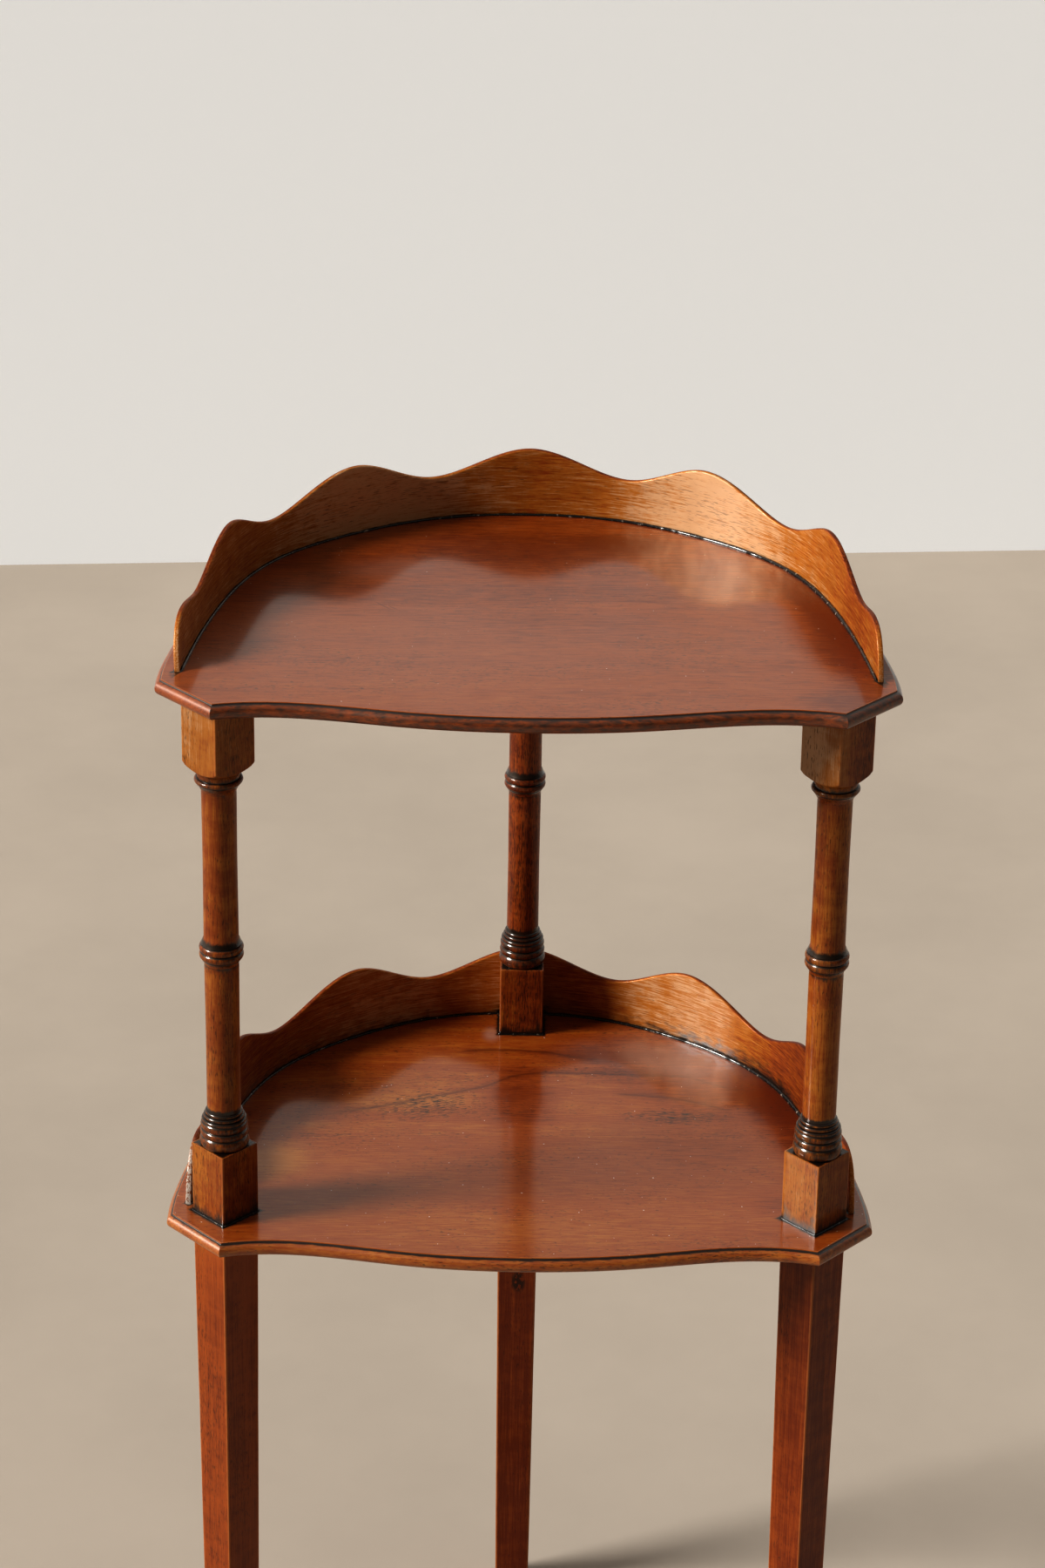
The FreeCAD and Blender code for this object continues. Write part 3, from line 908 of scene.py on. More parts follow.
def bar_piece(name, column, rows, shift, seed, tremor, tones, sides):
    """An upright or leg standing at a column's place, from its rows.

    tones gives how light its wood is by height, and the argument after it how much lighter its left
    side is painted, and its right side darker: painted light and shade.
    """
    x, y, turn = COLUMNS[column]
    facing = ANGLES + math.radians(turn)
    points, glaze, wear, tone, grain = [], [], [], [], []
    for level, radii, dark, rub in rows:
        shake = 1 + wander(level / 35.0, seed, tremor)
        reach = radii * shake
        points.append(np.stack([
            x + reach * np.cos(facing), y + reach * np.sin(facing), CLEAN + level], 1))
        glaze.extend(dark)
        wear.extend(rub)
        tone.extend(looked_up(level, tones) - looked_up(level, sides) * np.cos(facing))
        for u, v in zip(reach * np.cos(ANGLES), reach * np.sin(ANGLES)):
            grain.append((level + shift[0], u + shift[1], v + shift[2]))
    verts, faces = skin(points, True)
    return make_piece(name, verts, faces, (glaze, wear, tone), grain, 38.0)


# ---------------------------------------------------------------- wax
BEAD_SIDES = 8
BEAD_ROUGH = 0.3
# How thick the wax along a gallery is, by distance
WAX_SWELL = [(-330, 0.9), (-270, 1.5), (-100, 1.3), (0, 0.9), (200, 0.7)]


def bead(name, path, heights, radii, seed, closed):
    """An uneven bead of wax along plan points, with a height and a radius at each one."""
    across = ways_out(path, closed)
    rows = []
    for i, (x, y) in enumerate(path):
        lump = (1 + wander(i * 0.13, seed, BEAD_ROUGH)
                + wander(i * 0.6, seed + 5, 0.35 * BEAD_ROUGH))
        for j in range(BEAD_SIDES):
            turn = 2 * math.pi * j / BEAD_SIDES
            out = across[i] * radii[i] * lump * math.cos(turn)
            rows.append((x + out[0], y + out[1], heights[i] + radii[i] * lump * math.sin(turn)))
    verts, faces = skin(np.array(rows).reshape(len(path), BEAD_SIDES, 3), not closed)
    if closed:
        last = len(verts) - BEAD_SIDES
        for j in range(BEAD_SIDES):
            ahead = (j + 1) % BEAD_SIDES
            faces.append([last + j, last + ahead, ahead, j])
    clean = np.zeros(len(verts))
    return make_piece(name, verts, faces, (clean, clean), verts, 60.0)


def gallery_bead(name, surface, offset, width, seed):
    """Wax along one side of a gallery's foot."""
    run = np.linspace(-WAX_REACH, WAX_REACH, 560)
    fade = np.clip((WAX_REACH - np.abs(run)) / 4.0, 0.15, 1.0)
    radii = 0.5 * width * fade * np.interp(run, *zip(*WAX_SWELL))
    return bead(name, LINE.beside(run, offset), surface + 0.2 * radii, radii, seed, False)


def block_bead(name, column, width, seed):
    """Wax round the foot of a column's base block."""
    half = BASE_BLOCK_SIDE / 2 + 0.1 * width
    corner = 0.5
    face = [(half, share * (half - corner)) for share in np.linspace(-1, 1, 15)[:-1]]
    face += [(half, half - corner), (half - 0.15 * corner, half - 0.15 * corner)]
    path = np.array([
        beside_column(column, quarter, *place) for quarter in range(4) for place in face])
    even = np.ones(len(path))
    return bead(name, path, even * LOWER_SURFACE, even * (0.5 * width), seed, True)


# ---------------------------------------------------------------- shader nodes
class Nodes:
    """Adds nodes to one node tree and joins them up."""

    def __init__(self, tree):
        self.tree = tree

    def add(self, kind, sockets=None, **options):
        """A new node, with what its sockets are joined to or set to."""
        node = self.tree.nodes.new(kind)
        for option, value in options.items():
            setattr(node, option, value)
        self.fill(node, sockets or {})
        return node

    def fill(self, node, sockets):
        """Joins a node's sockets to other nodes, or sets them to a value."""
        for socket, value in sockets.items():
            if isinstance(value, bpy.types.NodeSocket):
                self.tree.links.new(value, node.inputs[socket])
            else:
                node.inputs[socket].default_value = value

    def math(self, operation, *values):
        return self.add(
            "ShaderNodeMath", dict(enumerate(values)), operation=operation).outputs[0]

    def plus(self, a, b):
        return self.math("ADD", a, b)

    def minus(self, a, b):
        return self.math("SUBTRACT", a, b)

    def times(self, a, b):
        return self.math("MULTIPLY", a, b)

    def swing(self, mask, amount):
        """A mask as a change of up to half the amount either way."""
        return self.times(self.minus(mask, 0.5), amount)

    def vector(self, operation, *values):
        node = self.add("ShaderNodeVectorMath", dict(enumerate(values)), operation=operation)
        return node.outputs["Value" if operation == "LENGTH" else "Vector"]

    def joined(self, x=0.0, y=0.0, z=0.0):
        """A vector from its parts."""
        return self.add("ShaderNodeCombineXYZ", {0: x, 1: y, 2: z}).outputs[0]

    def split(self, vector):
        """The parts of a vector."""
        return self.add("ShaderNodeSeparateXYZ", {0: vector}).outputs

    def noise(self, vector, stretch=(1.0, 1.0, 1.0), detail=2.0, roughness=0.5, output="Fac"):
        """Smooth noise over a vector that is stretched first."""
        node = self.add("ShaderNodeTexNoise", {
            "Vector": self.vector("MULTIPLY", vector, stretch), "Scale": 1.0, "Detail": detail,
            "Roughness": roughness})
        return node.outputs[output]

    def span(self, value, low, high, to_low=0.0, to_high=1.0):
        """A value eased from one range into another."""
        node = self.add("ShaderNodeMapRange", {
            "Value": value, "From Min": low, "From Max": high, "To Min": to_low,
            "To Max": to_high}, interpolation_type="SMOOTHSTEP")
        return node.outputs["Result"]

    def mix(self, factor, a, b):
        return self.add("ShaderNodeMix", {0: factor, 6: a, 7: b}, data_type="RGBA").outputs[2]

    def stored(self, label, output="Fac"):
        """What the mesh holds under a name."""
        return self.add("ShaderNodeAttribute", attribute_name=label).outputs[output]

    def place(self):
        """The place on the table, in metres in the part's frame."""
        return self.add("ShaderNodeTexCoord").outputs["Object"]

    def bump(self, strength, distance, height, **under):
        """A normal tilted by a height, over another one where it is given as Normal."""
        return self.add("ShaderNodeBump", {
            "Strength": strength, "Distance": distance, "Height": height, **under}).outputs[0]


def opened_group(name, inputs, outputs):
    """A new shader node group with named sockets, what it is given and its output node."""
    group = bpy.data.node_groups.new(name, "ShaderNodeTree")
    kinds = {float: "NodeSocketFloat", tuple: "NodeSocketVector"}
    for label, default in inputs.items():
        socket = group.interface.new_socket(
            label, in_out="INPUT", socket_type=kinds[type(default)])
        socket.default_value = default
    for label in outputs:
        group.interface.new_socket(label, in_out="OUTPUT", socket_type=kinds[float])
    nodes = Nodes(group)
    return nodes, nodes.add("NodeGroupInput").outputs, nodes.add("NodeGroupOutput")


def grain_group():
    """Wood grain in a board: broad figure, fine fibres, pores and the ribbon across them."""
    nodes, given, wanted = opened_group(
        "Wood Grain",
        {
            "Board": (0.0, 0.0, 0.0),
            "Ring Width": 0.006,
            "Waviness": 0.006,
            "Pore Amount": 0.5,
            "Fibre Run": 22.0,
            "Fibre Count": 900.0,
            "Pore Run": 260.0,
            "Pore Count": 2300.0,
        },
        ("Figure", "Fibre", "Pores", "Ribbon"),
    )
    board = given["Board"]
    slow = nodes.noise(board, (2.6, 11.0, 11.0), output="Color")
    drift = nodes.add("ShaderNodeVectorMath", {
        0: nodes.vector("SUBTRACT", slow, (0.5, 0.5, 0.5)), "Scale": given["Waviness"]},
        operation="SCALE")
    bent = nodes.vector("ADD", board, drift.outputs["Vector"])
    along, across, through_board = nodes.split(bent)
    radius = nodes.vector("LENGTH", nodes.joined(y=across, z=through_board))
    ring = nodes.math("DIVIDE", radius, given["Ring Width"])
    figure = nodes.noise(nodes.joined(nodes.times(along, 1.1), ring))
    fibre = nodes.noise(
        bent, nodes.joined(given["Fibre Run"], given["Fibre Count"], given["Fibre Count"]),
        detail=3.0, roughness=0.7)
    dashes = nodes.noise(
        bent, nodes.joined(given["Pore Run"], given["Pore Count"], given["Pore Count"]),
        detail=1.0)
    clusters = nodes.noise(board, (9.0, 38.0, 38.0), detail=1.0)
    floor = nodes.minus(0.80, nodes.times(clusters, given["Pore Amount"]))
    ribbon = nodes.noise(board, (95.0, 55.0, 55.0), detail=3.0, roughness=0.65)
    nodes.fill(wanted, {
        "Figure": nodes.span(figure, 0.28, 0.72),
        "Fibre": nodes.span(fibre, 0.25, 0.75),
        "Pores": nodes.span(nodes.minus(dashes, floor), 0.0, 0.09),
        "Ribbon": nodes.span(ribbon, 0.3, 0.7),
    })
    return nodes.tree


def marks_group():
    """The glaze and wear stored in the mesh, broken up so that neither has a ruled edge."""
    nodes, given, wanted = opened_group(
        "Glaze and Wear", {"Board": (0.0, 0.0, 0.0), "Wear Amount": 0.6}, ("Glaze", "Wear"))
    patches = nodes.noise(given["Board"], (160.0, 420.0, 420.0), detail=3.0)
    for label, low, high, amount in (
            ("Glaze", 0.18, 0.62, 1.0), ("Wear", 0.45, 1.0, given["Wear Amount"])):
        stored = nodes.stored(label.lower())
        uneven = nodes.plus(stored, nodes.swing(patches, 0.7))
        shown = nodes.times(nodes.span(uneven, low, high), nodes.span(stored, 0.0, 0.2))
        nodes.fill(wanted, {label: nodes.times(shown, amount)})
    return nodes.tree


def polish_group():
    """The state of the polish: cloudy patches, fine rubbing lines and settled dust."""
    nodes, given, wanted = opened_group(
        "Polish", {"Board": (0.0, 0.0, 0.0), "Dust Amount": 0.3},
        ("Cloud", "Lines", "Dust", "Swell"))
    board = given["Board"]
    cloud = nodes.noise(board, (16.0, 24.0, 24.0), detail=4.0, roughness=0.6)
    lines = nodes.noise(board, (60.0, 2600.0, 2600.0))
    upward = nodes.split(nodes.add("ShaderNodeNewGeometry").outputs["Normal"])[2]
    specks = nodes.noise(board, (700.0, 700.0, 700.0), detail=0.0)
    dust = nodes.times(nodes.span(specks, 0.872, 0.892), nodes.span(upward, 0.8, 1.0))
    nodes.fill(wanted, {
        "Cloud": nodes.span(cloud, 0.3, 0.7),
        "Lines": nodes.span(lines, 0.56, 0.75),
        "Dust": nodes.times(dust, given["Dust Amount"]),
        "Swell": nodes.noise(board, (7.0, 13.0, 13.0), detail=1.0),
    })
    return nodes.tree


def placed(nodes, name, maker, sockets):
    """The outputs of a shared group, made the first time it is wanted and given its own values."""
    tree = bpy.data.node_groups.get(name) or maker()
    return nodes.add("ShaderNodeGroup", sockets, node_tree=tree).outputs


def principled(name):
    """A new material with its Principled shader, and a helper for its nodes."""
    material = bpy.data.materials.new(name)
    material.use_nodes = True
    nodes = Nodes(material.node_tree)
    shader = next(n for n in material.node_tree.nodes if n.type == "BSDF_PRINCIPLED")
    return material, nodes, shader


def colour(value):
    """A settings colour with its alpha."""
    return (*value, 1.0)


def vein_lines(nodes, spots, veins):
    """A mask of fine dark lines, each through plan points in millimetres from left to right."""
    level, depth, _ = nodes.split(spots)
    shake = nodes.noise(spots, (45.0, 90.0, 90.0), detail=3.0)
    across = nodes.plus(depth, nodes.swing(shake, 0.003))
    mask = 0.0
    for vein in veins:
        knots = np.array(vein) * MM
        (left, low), (right, high) = knots.min(0), knots.max(0)
        along = nodes.add("ShaderNodeMapRange", {
            "Value": level, "From Min": left, "From Max": right}).outputs["Result"]
        bend = nodes.add("ShaderNodeFloatCurve", {"Value": along})
        line = bend.mapping.curves[0]
        ends = line.points[0], line.points[1]
        for point, (x, y) in zip(ends, (knots[0], knots[-1])):
            point.location = (x - left) / (right - left), (y - low) / (high - low)
        for x, y in knots[1:-1]:
            line.points.new((x - left) / (right - left), (y - low) / (high - low))
        bend.mapping.update()
        middle = nodes.plus(low, nodes.times(bend.outputs[0], high - low))
        gap = nodes.math("ABSOLUTE", nodes.minus(across, middle))
        drawn = nodes.plus(
            nodes.span(gap, 0.0018, 0.0004, 0.0, 0.36), nodes.span(gap, 0.007, 0.0, 0.0, 0.25))
        fade = nodes.times(nodes.span(along, 0.0, 0.12), nodes.span(along, 1.0, 0.88))
        mask = nodes.math("MAXIMUM", mask, nodes.times(drawn, fade))
    return mask


def patch(nodes, spots, x, y, along, across, lean):
    """A soft oval mask at a plan place, in millimetres, and the place measured from its middle."""
    middle = nodes.vector("SUBTRACT", spots, (x * MM, y * MM, 0.0))
    turned = nodes.add("ShaderNodeVectorRotate", {
        "Vector": middle, "Angle": math.radians(-lean)}, rotation_type="Z_AXIS").outputs[0]
    flat = nodes.vector("MULTIPLY", turned, (1 / (along * MM), 1 / (across * MM), 0.0))
    return nodes.span(nodes.vector("LENGTH", flat), 1.0, 0.2), turned


def long_pores(nodes, spots, clusters):
    """A mask of long dark pores in patches, each (x, y, reach along, reach across, lean)."""
    mask = 0.0
    for where in clusters:
        inside, turned = patch(nodes, spots, *where)
        dashes = nodes.noise(turned, (210.0, 1250.0, 900.0), detail=1.0)
        shown = nodes.minus(dashes, nodes.minus(0.78, nodes.times(inside, 0.25)))
        mask = nodes.math("MAXIMUM", mask, nodes.span(shown, 0.0, 0.05, 0.0, 0.9))
    return mask


def wood_tone(nodes, grain, spots, light, bands, fibres, ribbon, patches):
    """How light the wood is, from its figure, its place on the piece and the patches over it. Part
    of what is stored on the piece, and some of the patches, are painted light and shade.
    """
    tone = nodes.plus(nodes.times(grain["Figure"], bands), light - bands / 2)
    tone = nodes.plus(tone, nodes.stored("tone"))
    for *where, amount in patches:
        tone = nodes.plus(tone, nodes.times(patch(nodes, spots, *where)[0], amount))
    tone = nodes.plus(tone, nodes.swing(grain["Fibre"], fibres))
    return nodes.plus(tone, nodes.swing(grain["Ribbon"], ribbon))


def stained(nodes, tone, tones):
    """The colour of the wood by how light it is, from dark to honey."""
    wood = nodes.mix(nodes.span(tone, 0.0, 0.5), colour(tones.dark), colour(tones.red))
    wood = nodes.mix(nodes.span(tone, 0.45, 1.05), wood, colour(tones.gold))
    return nodes.mix(nodes.span(tone, 1.0, 1.7), wood, colour(tones.honey))


def with_dust_and_sheen(nodes, wood, spots, cloud, dust_and_sheen_places, tones):
    """Wood under polish with a painted sheen at the given places: a pale haze that stands in for
    reflected light, and in a few places for dust on the polish.
    """
    dust_and_sheen_mask = 0.0
    for *where, amount in dust_and_sheen_places:
        dust_and_sheen_mask = nodes.math("MAXIMUM", dust_and_sheen_mask, nodes.times(patch(nodes, spots, *where)[0], amount))
    uneven = nodes.span(cloud, 0.0, 1.0, 0.7, 1.3)
    return nodes.mix(nodes.times(dust_and_sheen_mask, uneven), wood, colour(tones.dust_and_sheen))


def crusted(nodes, wood, spots, crusts, tones):
    """Wood with rough pale residue at the given places."""
    for *where, amount in crusts:
        inside, _ = patch(nodes, spots, *where)
        crumbs = nodes.noise(spots, (700.0, 700.0, 420.0), detail=4.0, roughness=0.75)
        wood = nodes.mix(nodes.times(inside, 0.75), wood, colour(tones.dark))
        shown = nodes.times(nodes.span(crumbs, 0.42, 0.52), amount)
        wood = nodes.mix(nodes.times(inside, shown), wood, colour(tones.crust))
    return wood


def spotted(nodes, wood, spots, smudges, tones):
    """Wood with dark ragged spots, each (x, y, z, reach across, reach up)."""
    for x, y, z, across, up in smudges:
        middle = nodes.vector("SUBTRACT", spots, (x * MM, y * MM, z * MM))
        gap = nodes.vector("LENGTH", nodes.vector(
            "MULTIPLY", middle, (1 / (across * MM), 1 / (across * MM), 1 / (up * MM))))
        ragged = nodes.noise(spots, (520.0, 520.0, 330.0), detail=3.0)
        spot = nodes.times(nodes.span(gap, 1.0, 0.5), nodes.span(ragged, 0.40, 0.48))
        wood = nodes.mix(nodes.times(spot, 0.85), wood, colour(tones.glaze))
    return wood


def mahogany(name, light, ring, waviness, pores, pore_run, pore_count, pore_dark, bands, fibres,
             fibre_run, coat, satin, fibre_count=900.0, ribbon=0.15, wear=0.6, gloss=0.34,
             dust=0.8, clear=0.16, silk=0.0, film=0.0, tint=(1.0, 0.80, 0.62), patches=(),
             dust_and_sheen_places=(), crusts=(), smudges=(), deeps=(), veins=(), clusters=()):
    """Polished mahogany.

    light moves the wood from dark to golden. bands, fibres and ribbon say how strongly the rings,
    the fine lines and the cross figure colour it. coat is the clear polish and clear how rough that
    is. satin is the dull shine under it, tint the colour of that shine and silk the coloured lustre
    of the fibres. film is an even coat of dark polish. What follows is placed on the table in
    millimetres: patches are lighter or darker places, some of them painted light and shade, the
    hazy places are partly dust and partly a painted sheen that stands in for reflected light,
    crusts are places with rough pale residue, smudges are dark spots, deeps are places where the
    clear polish is thin, veins are dark lines and clusters are places with long pores.
    """
    tones = settings().finish
    material, nodes, shader = principled(name)
    board, spots = nodes.stored("board", "Vector"), nodes.place()
    grain = placed(nodes, "Wood Grain", grain_group, {
        "Board": board, "Ring Width": ring, "Waviness": waviness, "Pore Amount": pores,
        "Fibre Run": fibre_run, "Fibre Count": fibre_count, "Pore Run": pore_run,
        "Pore Count": pore_count})
    marks = placed(nodes, "Glaze and Wear", marks_group, {"Board": board, "Wear Amount": wear})
    polish = placed(nodes, "Polish", polish_group, {"Board": board, "Dust Amount": dust})
    tone = wood_tone(nodes, grain, spots, light, bands, fibres, ribbon, patches)
    wood = stained(nodes, tone, tones)
    if veins:
        wood = nodes.mix(vein_lines(nodes, spots, veins), wood, colour(tones.vein))
    pore_shade = nodes.times(grain["Pores"], pore_dark)
    if clusters:
        pore_shade = nodes.math("MAXIMUM", pore_shade, long_pores(nodes, spots, clusters))
    wood = nodes.mix(pore_shade, wood, colour(tones.glaze))
    if film:
        even = nodes.span(polish["Cloud"], 0.0, 1.0, 0.8 * film, 1.2 * film)
        wood = nodes.mix(even, wood, colour(tones.glaze))
    # Painted sheen: a pale haze over the wood that stands in for reflected light, with some dust.
    if dust_and_sheen_places:
        wood = with_dust_and_sheen(nodes, wood, spots, polish["Cloud"], dust_and_sheen_places, tones)
    wood = nodes.mix(marks["Wear"], wood, colour(tones.worn))
    wood = nodes.mix(marks["Glaze"], wood, colour(tones.glaze))
    wood = crusted(nodes, wood, spots, crusts, tones)
    wood = spotted(nodes, wood, spots, smudges, tones)
    rough = nodes.plus(gloss, nodes.times(polish["Cloud"], 0.10))
    rough = nodes.plus(rough, nodes.times(polish["Lines"], 0.06))
    rough = nodes.plus(rough, nodes.times(polish["Dust"], 0.4))
    height = nodes.times(nodes.minus(1.0, grain["Pores"]), 0.5)
    height = nodes.plus(height, nodes.times(grain["Fibre"], 0.25))
    fine = nodes.bump(0.25, 0.00012, height)
    shine = nodes.plus(coat, nodes.times(marks["Glaze"], 1 - coat))
    for *where, amount in deeps:
        inside, _ = patch(nodes, spots, *where)
        shine = nodes.times(shine, nodes.span(inside, 0.0, 1.0, 1.0, 1.0 - amount))
    nodes.fill(shader, {
        "Base Color": nodes.mix(polish["Dust"], wood, colour(tones.dust)),
        "Roughness": rough,
        "Normal": nodes.bump(0.35, 0.0012, polish["Swell"], Normal=fine),
        "Specular IOR Level": satin,
        "Specular Tint": colour(tint),
        "Coat Weight": shine,
        "Coat Roughness": clear,
    })
    if silk:
        lustre = nodes.span(grain["Ribbon"], 0.0, 1.0, 0.4 * silk, 1.6 * silk)
        nodes.fill(shader, {"Metallic": lustre})
    return material


def plain_wood(name):
    """Unfinished beech for the dowels."""
    material, nodes, shader = principled(name)
    upright = nodes.add("ShaderNodeMapping", {
        "Vector": nodes.place(), "Rotation": (0, math.pi / 2, 0)})
    grain = placed(nodes, "Wood Grain", grain_group, {
        "Board": upright.outputs[0], "Ring Width": 0.002})
    pale = nodes.mix(grain["Fibre"], (0.42, 0.27, 0.14, 1.0), (0.60, 0.43, 0.25, 1.0))
    nodes.fill(shader, {
        "Base Color": nodes.mix(nodes.times(grain["Pores"], 0.5), pale, (0.25, 0.14, 0.07, 1.0)),
        "Roughness": nodes.plus(0.6, nodes.times(grain["Fibre"], 0.2)),
        "Normal": nodes.bump(0.3, 0.0001, grain["Fibre"]),
    })
    return material


def pin_metal(name):
    """Plain steel of the gallery pins, dulled in places."""
    material, nodes, shader = principled(name)
    stain = nodes.noise(nodes.place(), (900.0, 900.0, 900.0), detail=3.0)
    tarnish = nodes.span(stain, 0.45, 0.65)
    nodes.fill(shader, {
        "Base Color": nodes.mix(tarnish, (0.42, 0.41, 0.39, 1.0), (0.12, 0.075, 0.045, 1.0)),
        "Roughness": nodes.span(stain, 0.3, 0.7, 0.25, 0.6),
        "Metallic": nodes.minus(1.0, nodes.times(tarnish, 0.6)),
    })
    return material


def joint_wax(name):
    """Black wax and old polish gathered in a corner, glossy where it has been rubbed."""
    finish = settings().finish
    material, nodes, shader = principled(name)
    lumps = nodes.noise(nodes.stored("board", "Vector"), (330.0, 330.0, 330.0), detail=4.0)
    dull = nodes.times(nodes.span(lumps, 0.60, 0.70), 0.6)
    nodes.fill(shader, {
        "Base Color": nodes.mix(dull, colour(finish.wax), colour(finish.old_wax)),
        "Roughness": nodes.span(lumps, 0.3, 0.7, 0.2, 0.45),
        "Normal": nodes.bump(0.18, 0.0005, lumps),
        "Specular IOR Level": 0.15,
        "Coat Weight": 1.0,
        "Coat Roughness": 0.14,
    })
    return material


# ---------------------------------------------------------------- stage
# Where the backdrop stands behind the table, and how much it turns away
WALL_Y = 1.970
WALL_TURN = 0.0774
WALL_TOP = 9
WALL_GLOW = 0.23
# How far the floor and the backdrop reach from the middle
STAGE_REACH = 30
# The distant lamp: its direction, where its object stands, and how broad it looks from the table
KEY_AZIMUTH = math.radians(15.0)
KEY_HEIGHT = math.radians(28.5)
KEY_DISTANCE = 9.0
KEY_ANGLE = math.radians(18.9)
# How much stronger the room's light is from overhead
OVERHEAD = 4.0
CAMERA_PLACE = (-0.01323, -2.29379, 1.75073)
CAMERA_PITCH = 0.4423
CAMERA_YAW = 0.0048
CAMERA_ROLL = 0.0170


def stage_sheet(name, corners):
    """A flat sheet of the stage."""
    mesh = bpy.data.meshes.new(name)
    mesh.from_pydata(corners, [], [(0, 1, 2, 3)])
    return linked(name, mesh)


def floor_finish(studio):
    """A matt pale floor."""
    material, nodes, shader = principled("Pale_floor")
    cloud = nodes.noise(nodes.place(), (2.2, 2.2, 2.2), detail=5.0, roughness=0.6)
    base = Vector(studio.floor)
    nodes.fill(shader, {
        "Base Color": nodes.mix(
            nodes.span(cloud, 0.3, 0.7), colour(base * 0.94), colour(base * 1.04)),
        "Roughness": 0.8,
        "Specular IOR Level": 0.2,
    })
    return material


def wall_finish(studio):
    """A matt backdrop that can be seen only from its front."""
    material, nodes, shader = principled("Pale_backdrop")
    nodes.fill(shader, {
        "Base Color": colour(studio.wall),
        "Emission Color": colour(studio.wall),
        "Emission Strength": WALL_GLOW,
        "Roughness": 0.9,
        "Specular IOR Level": 0.1,
    })
    behind = nodes.add("ShaderNodeNewGeometry").outputs["Backfacing"]
    clear = nodes.add("ShaderNodeBsdfTransparent")
    either = nodes.add("ShaderNodeMixShader", {
        0: behind, 1: shader.outputs[0], 2: clear.outputs[0]})
    output = next(n for n in nodes.tree.nodes if n.type == "OUTPUT_MATERIAL")
    nodes.fill(output, {"Surface": either.outputs[0]})
    return material


def light_room(scene, studio):
    """A broad soft lamp far away on the left, low and a little to the front, in a pale room."""
    lamp = bpy.data.lights.new("Key", "SUN")
    lamp.angle = KEY_ANGLE
    lamp.energy = studio.key
    lamp.color = (1.0, 0.985, 0.95)
    key = bpy.data.objects.new("Key", lamp)
    way = Vector((
        -math.cos(KEY_HEIGHT) * math.cos(KEY_AZIMUTH),
        -math.cos(KEY_HEIGHT) * math.sin(KEY_AZIMUTH),
        math.sin(KEY_HEIGHT),
    ))
    key.location = Vector((0, 0, 0.6)) + way * KEY_DISTANCE
    key.rotation_euler = way.to_track_quat("Z", "Y").to_euler()
    scene.collection.objects.link(key)
    world = bpy.data.worlds.new("Room")
    world.use_nodes = True
    room = next(n for n in world.node_tree.nodes if n.type == "BACKGROUND")
    nodes = Nodes(world.node_tree)
    _, back, up = nodes.split(nodes.add("ShaderNodeTexCoord").outputs["Generated"])
    strength = nodes.span(up, 0.1, 0.9, studio.fill, OVERHEAD * studio.fill)
    nodes.fill(room, {
        "Color": nodes.mix(
            nodes.span(back, -0.8, 0.1), (1.0, 0.90, 0.76, 1.0), (0.97, 0.98, 1.0, 1.0)),
        "Strength": nodes.times(strength, nodes.span(back, -0.9, 0.1, 0.6, 1.0)),
    })
    scene.world = world
    scene.view_settings.view_transform = "Standard"
    scene.view_settings.look = "High Contrast"


def aim_camera(scene, studio):
    """The camera, with its tilt, turn and slight roll."""
    pitch, yaw, roll = CAMERA_PITCH, CAMERA_YAW, CAMERA_ROLL
    ahead = Vector((
        math.sin(yaw) * math.cos(pitch), math.cos(yaw) * math.cos(pitch), -math.sin(pitch)))
    level = Vector((math.cos(yaw), -math.sin(yaw), 0))
    upward = level.cross(ahead)
    right = math.cos(roll) * level + math.sin(roll) * upward
    upward = math.cos(roll) * upward - math.sin(roll) * level
    lens = bpy.data.cameras.new("Camera")
    lens.lens = studio.lens
    lens.sensor_width = 36.0
    camera = bpy.data.objects.new("Camera", lens)
    turn = Matrix((right, upward, -ahead)).transposed().to_4x4()
    camera.matrix_world = Matrix.Translation(CAMERA_PLACE) @ turn
    scene.collection.objects.link(camera)
    scene.camera = camera


# ---------------------------------------------------------------- operators
# Dark veins of the lower back board, through plan points in the part's frame
VEINS = [
    [(-42.5, 86.0), (-16.0, 96.0), (12.0, 94.0), (30.0, 89.0), (56.0, 83.0)],
    [(-128.0, 10.0), (-108.0, 14.5), (-68.0, 29.0), (-22.0, 49.0), (8.0, 66.0), (28.0, 67.5),
     (72.0, 65.5), (101.0, 64.5), (118.0, 57.0), (138.0, 48.5), (156.0, 48.0)],
    [(57.0, 41.0), (91.0, 37.5), (113.0, 30.0), (130.0, 22.0)],
]
# Its patches of long pores: (x, y, reach along, reach across, lean in degrees)
CLUSTERS = [(-57.0, 24.0, 56.0, 34.0, 16.0), (96.0, 14.0, 58.0, 17.0, -3.0)]
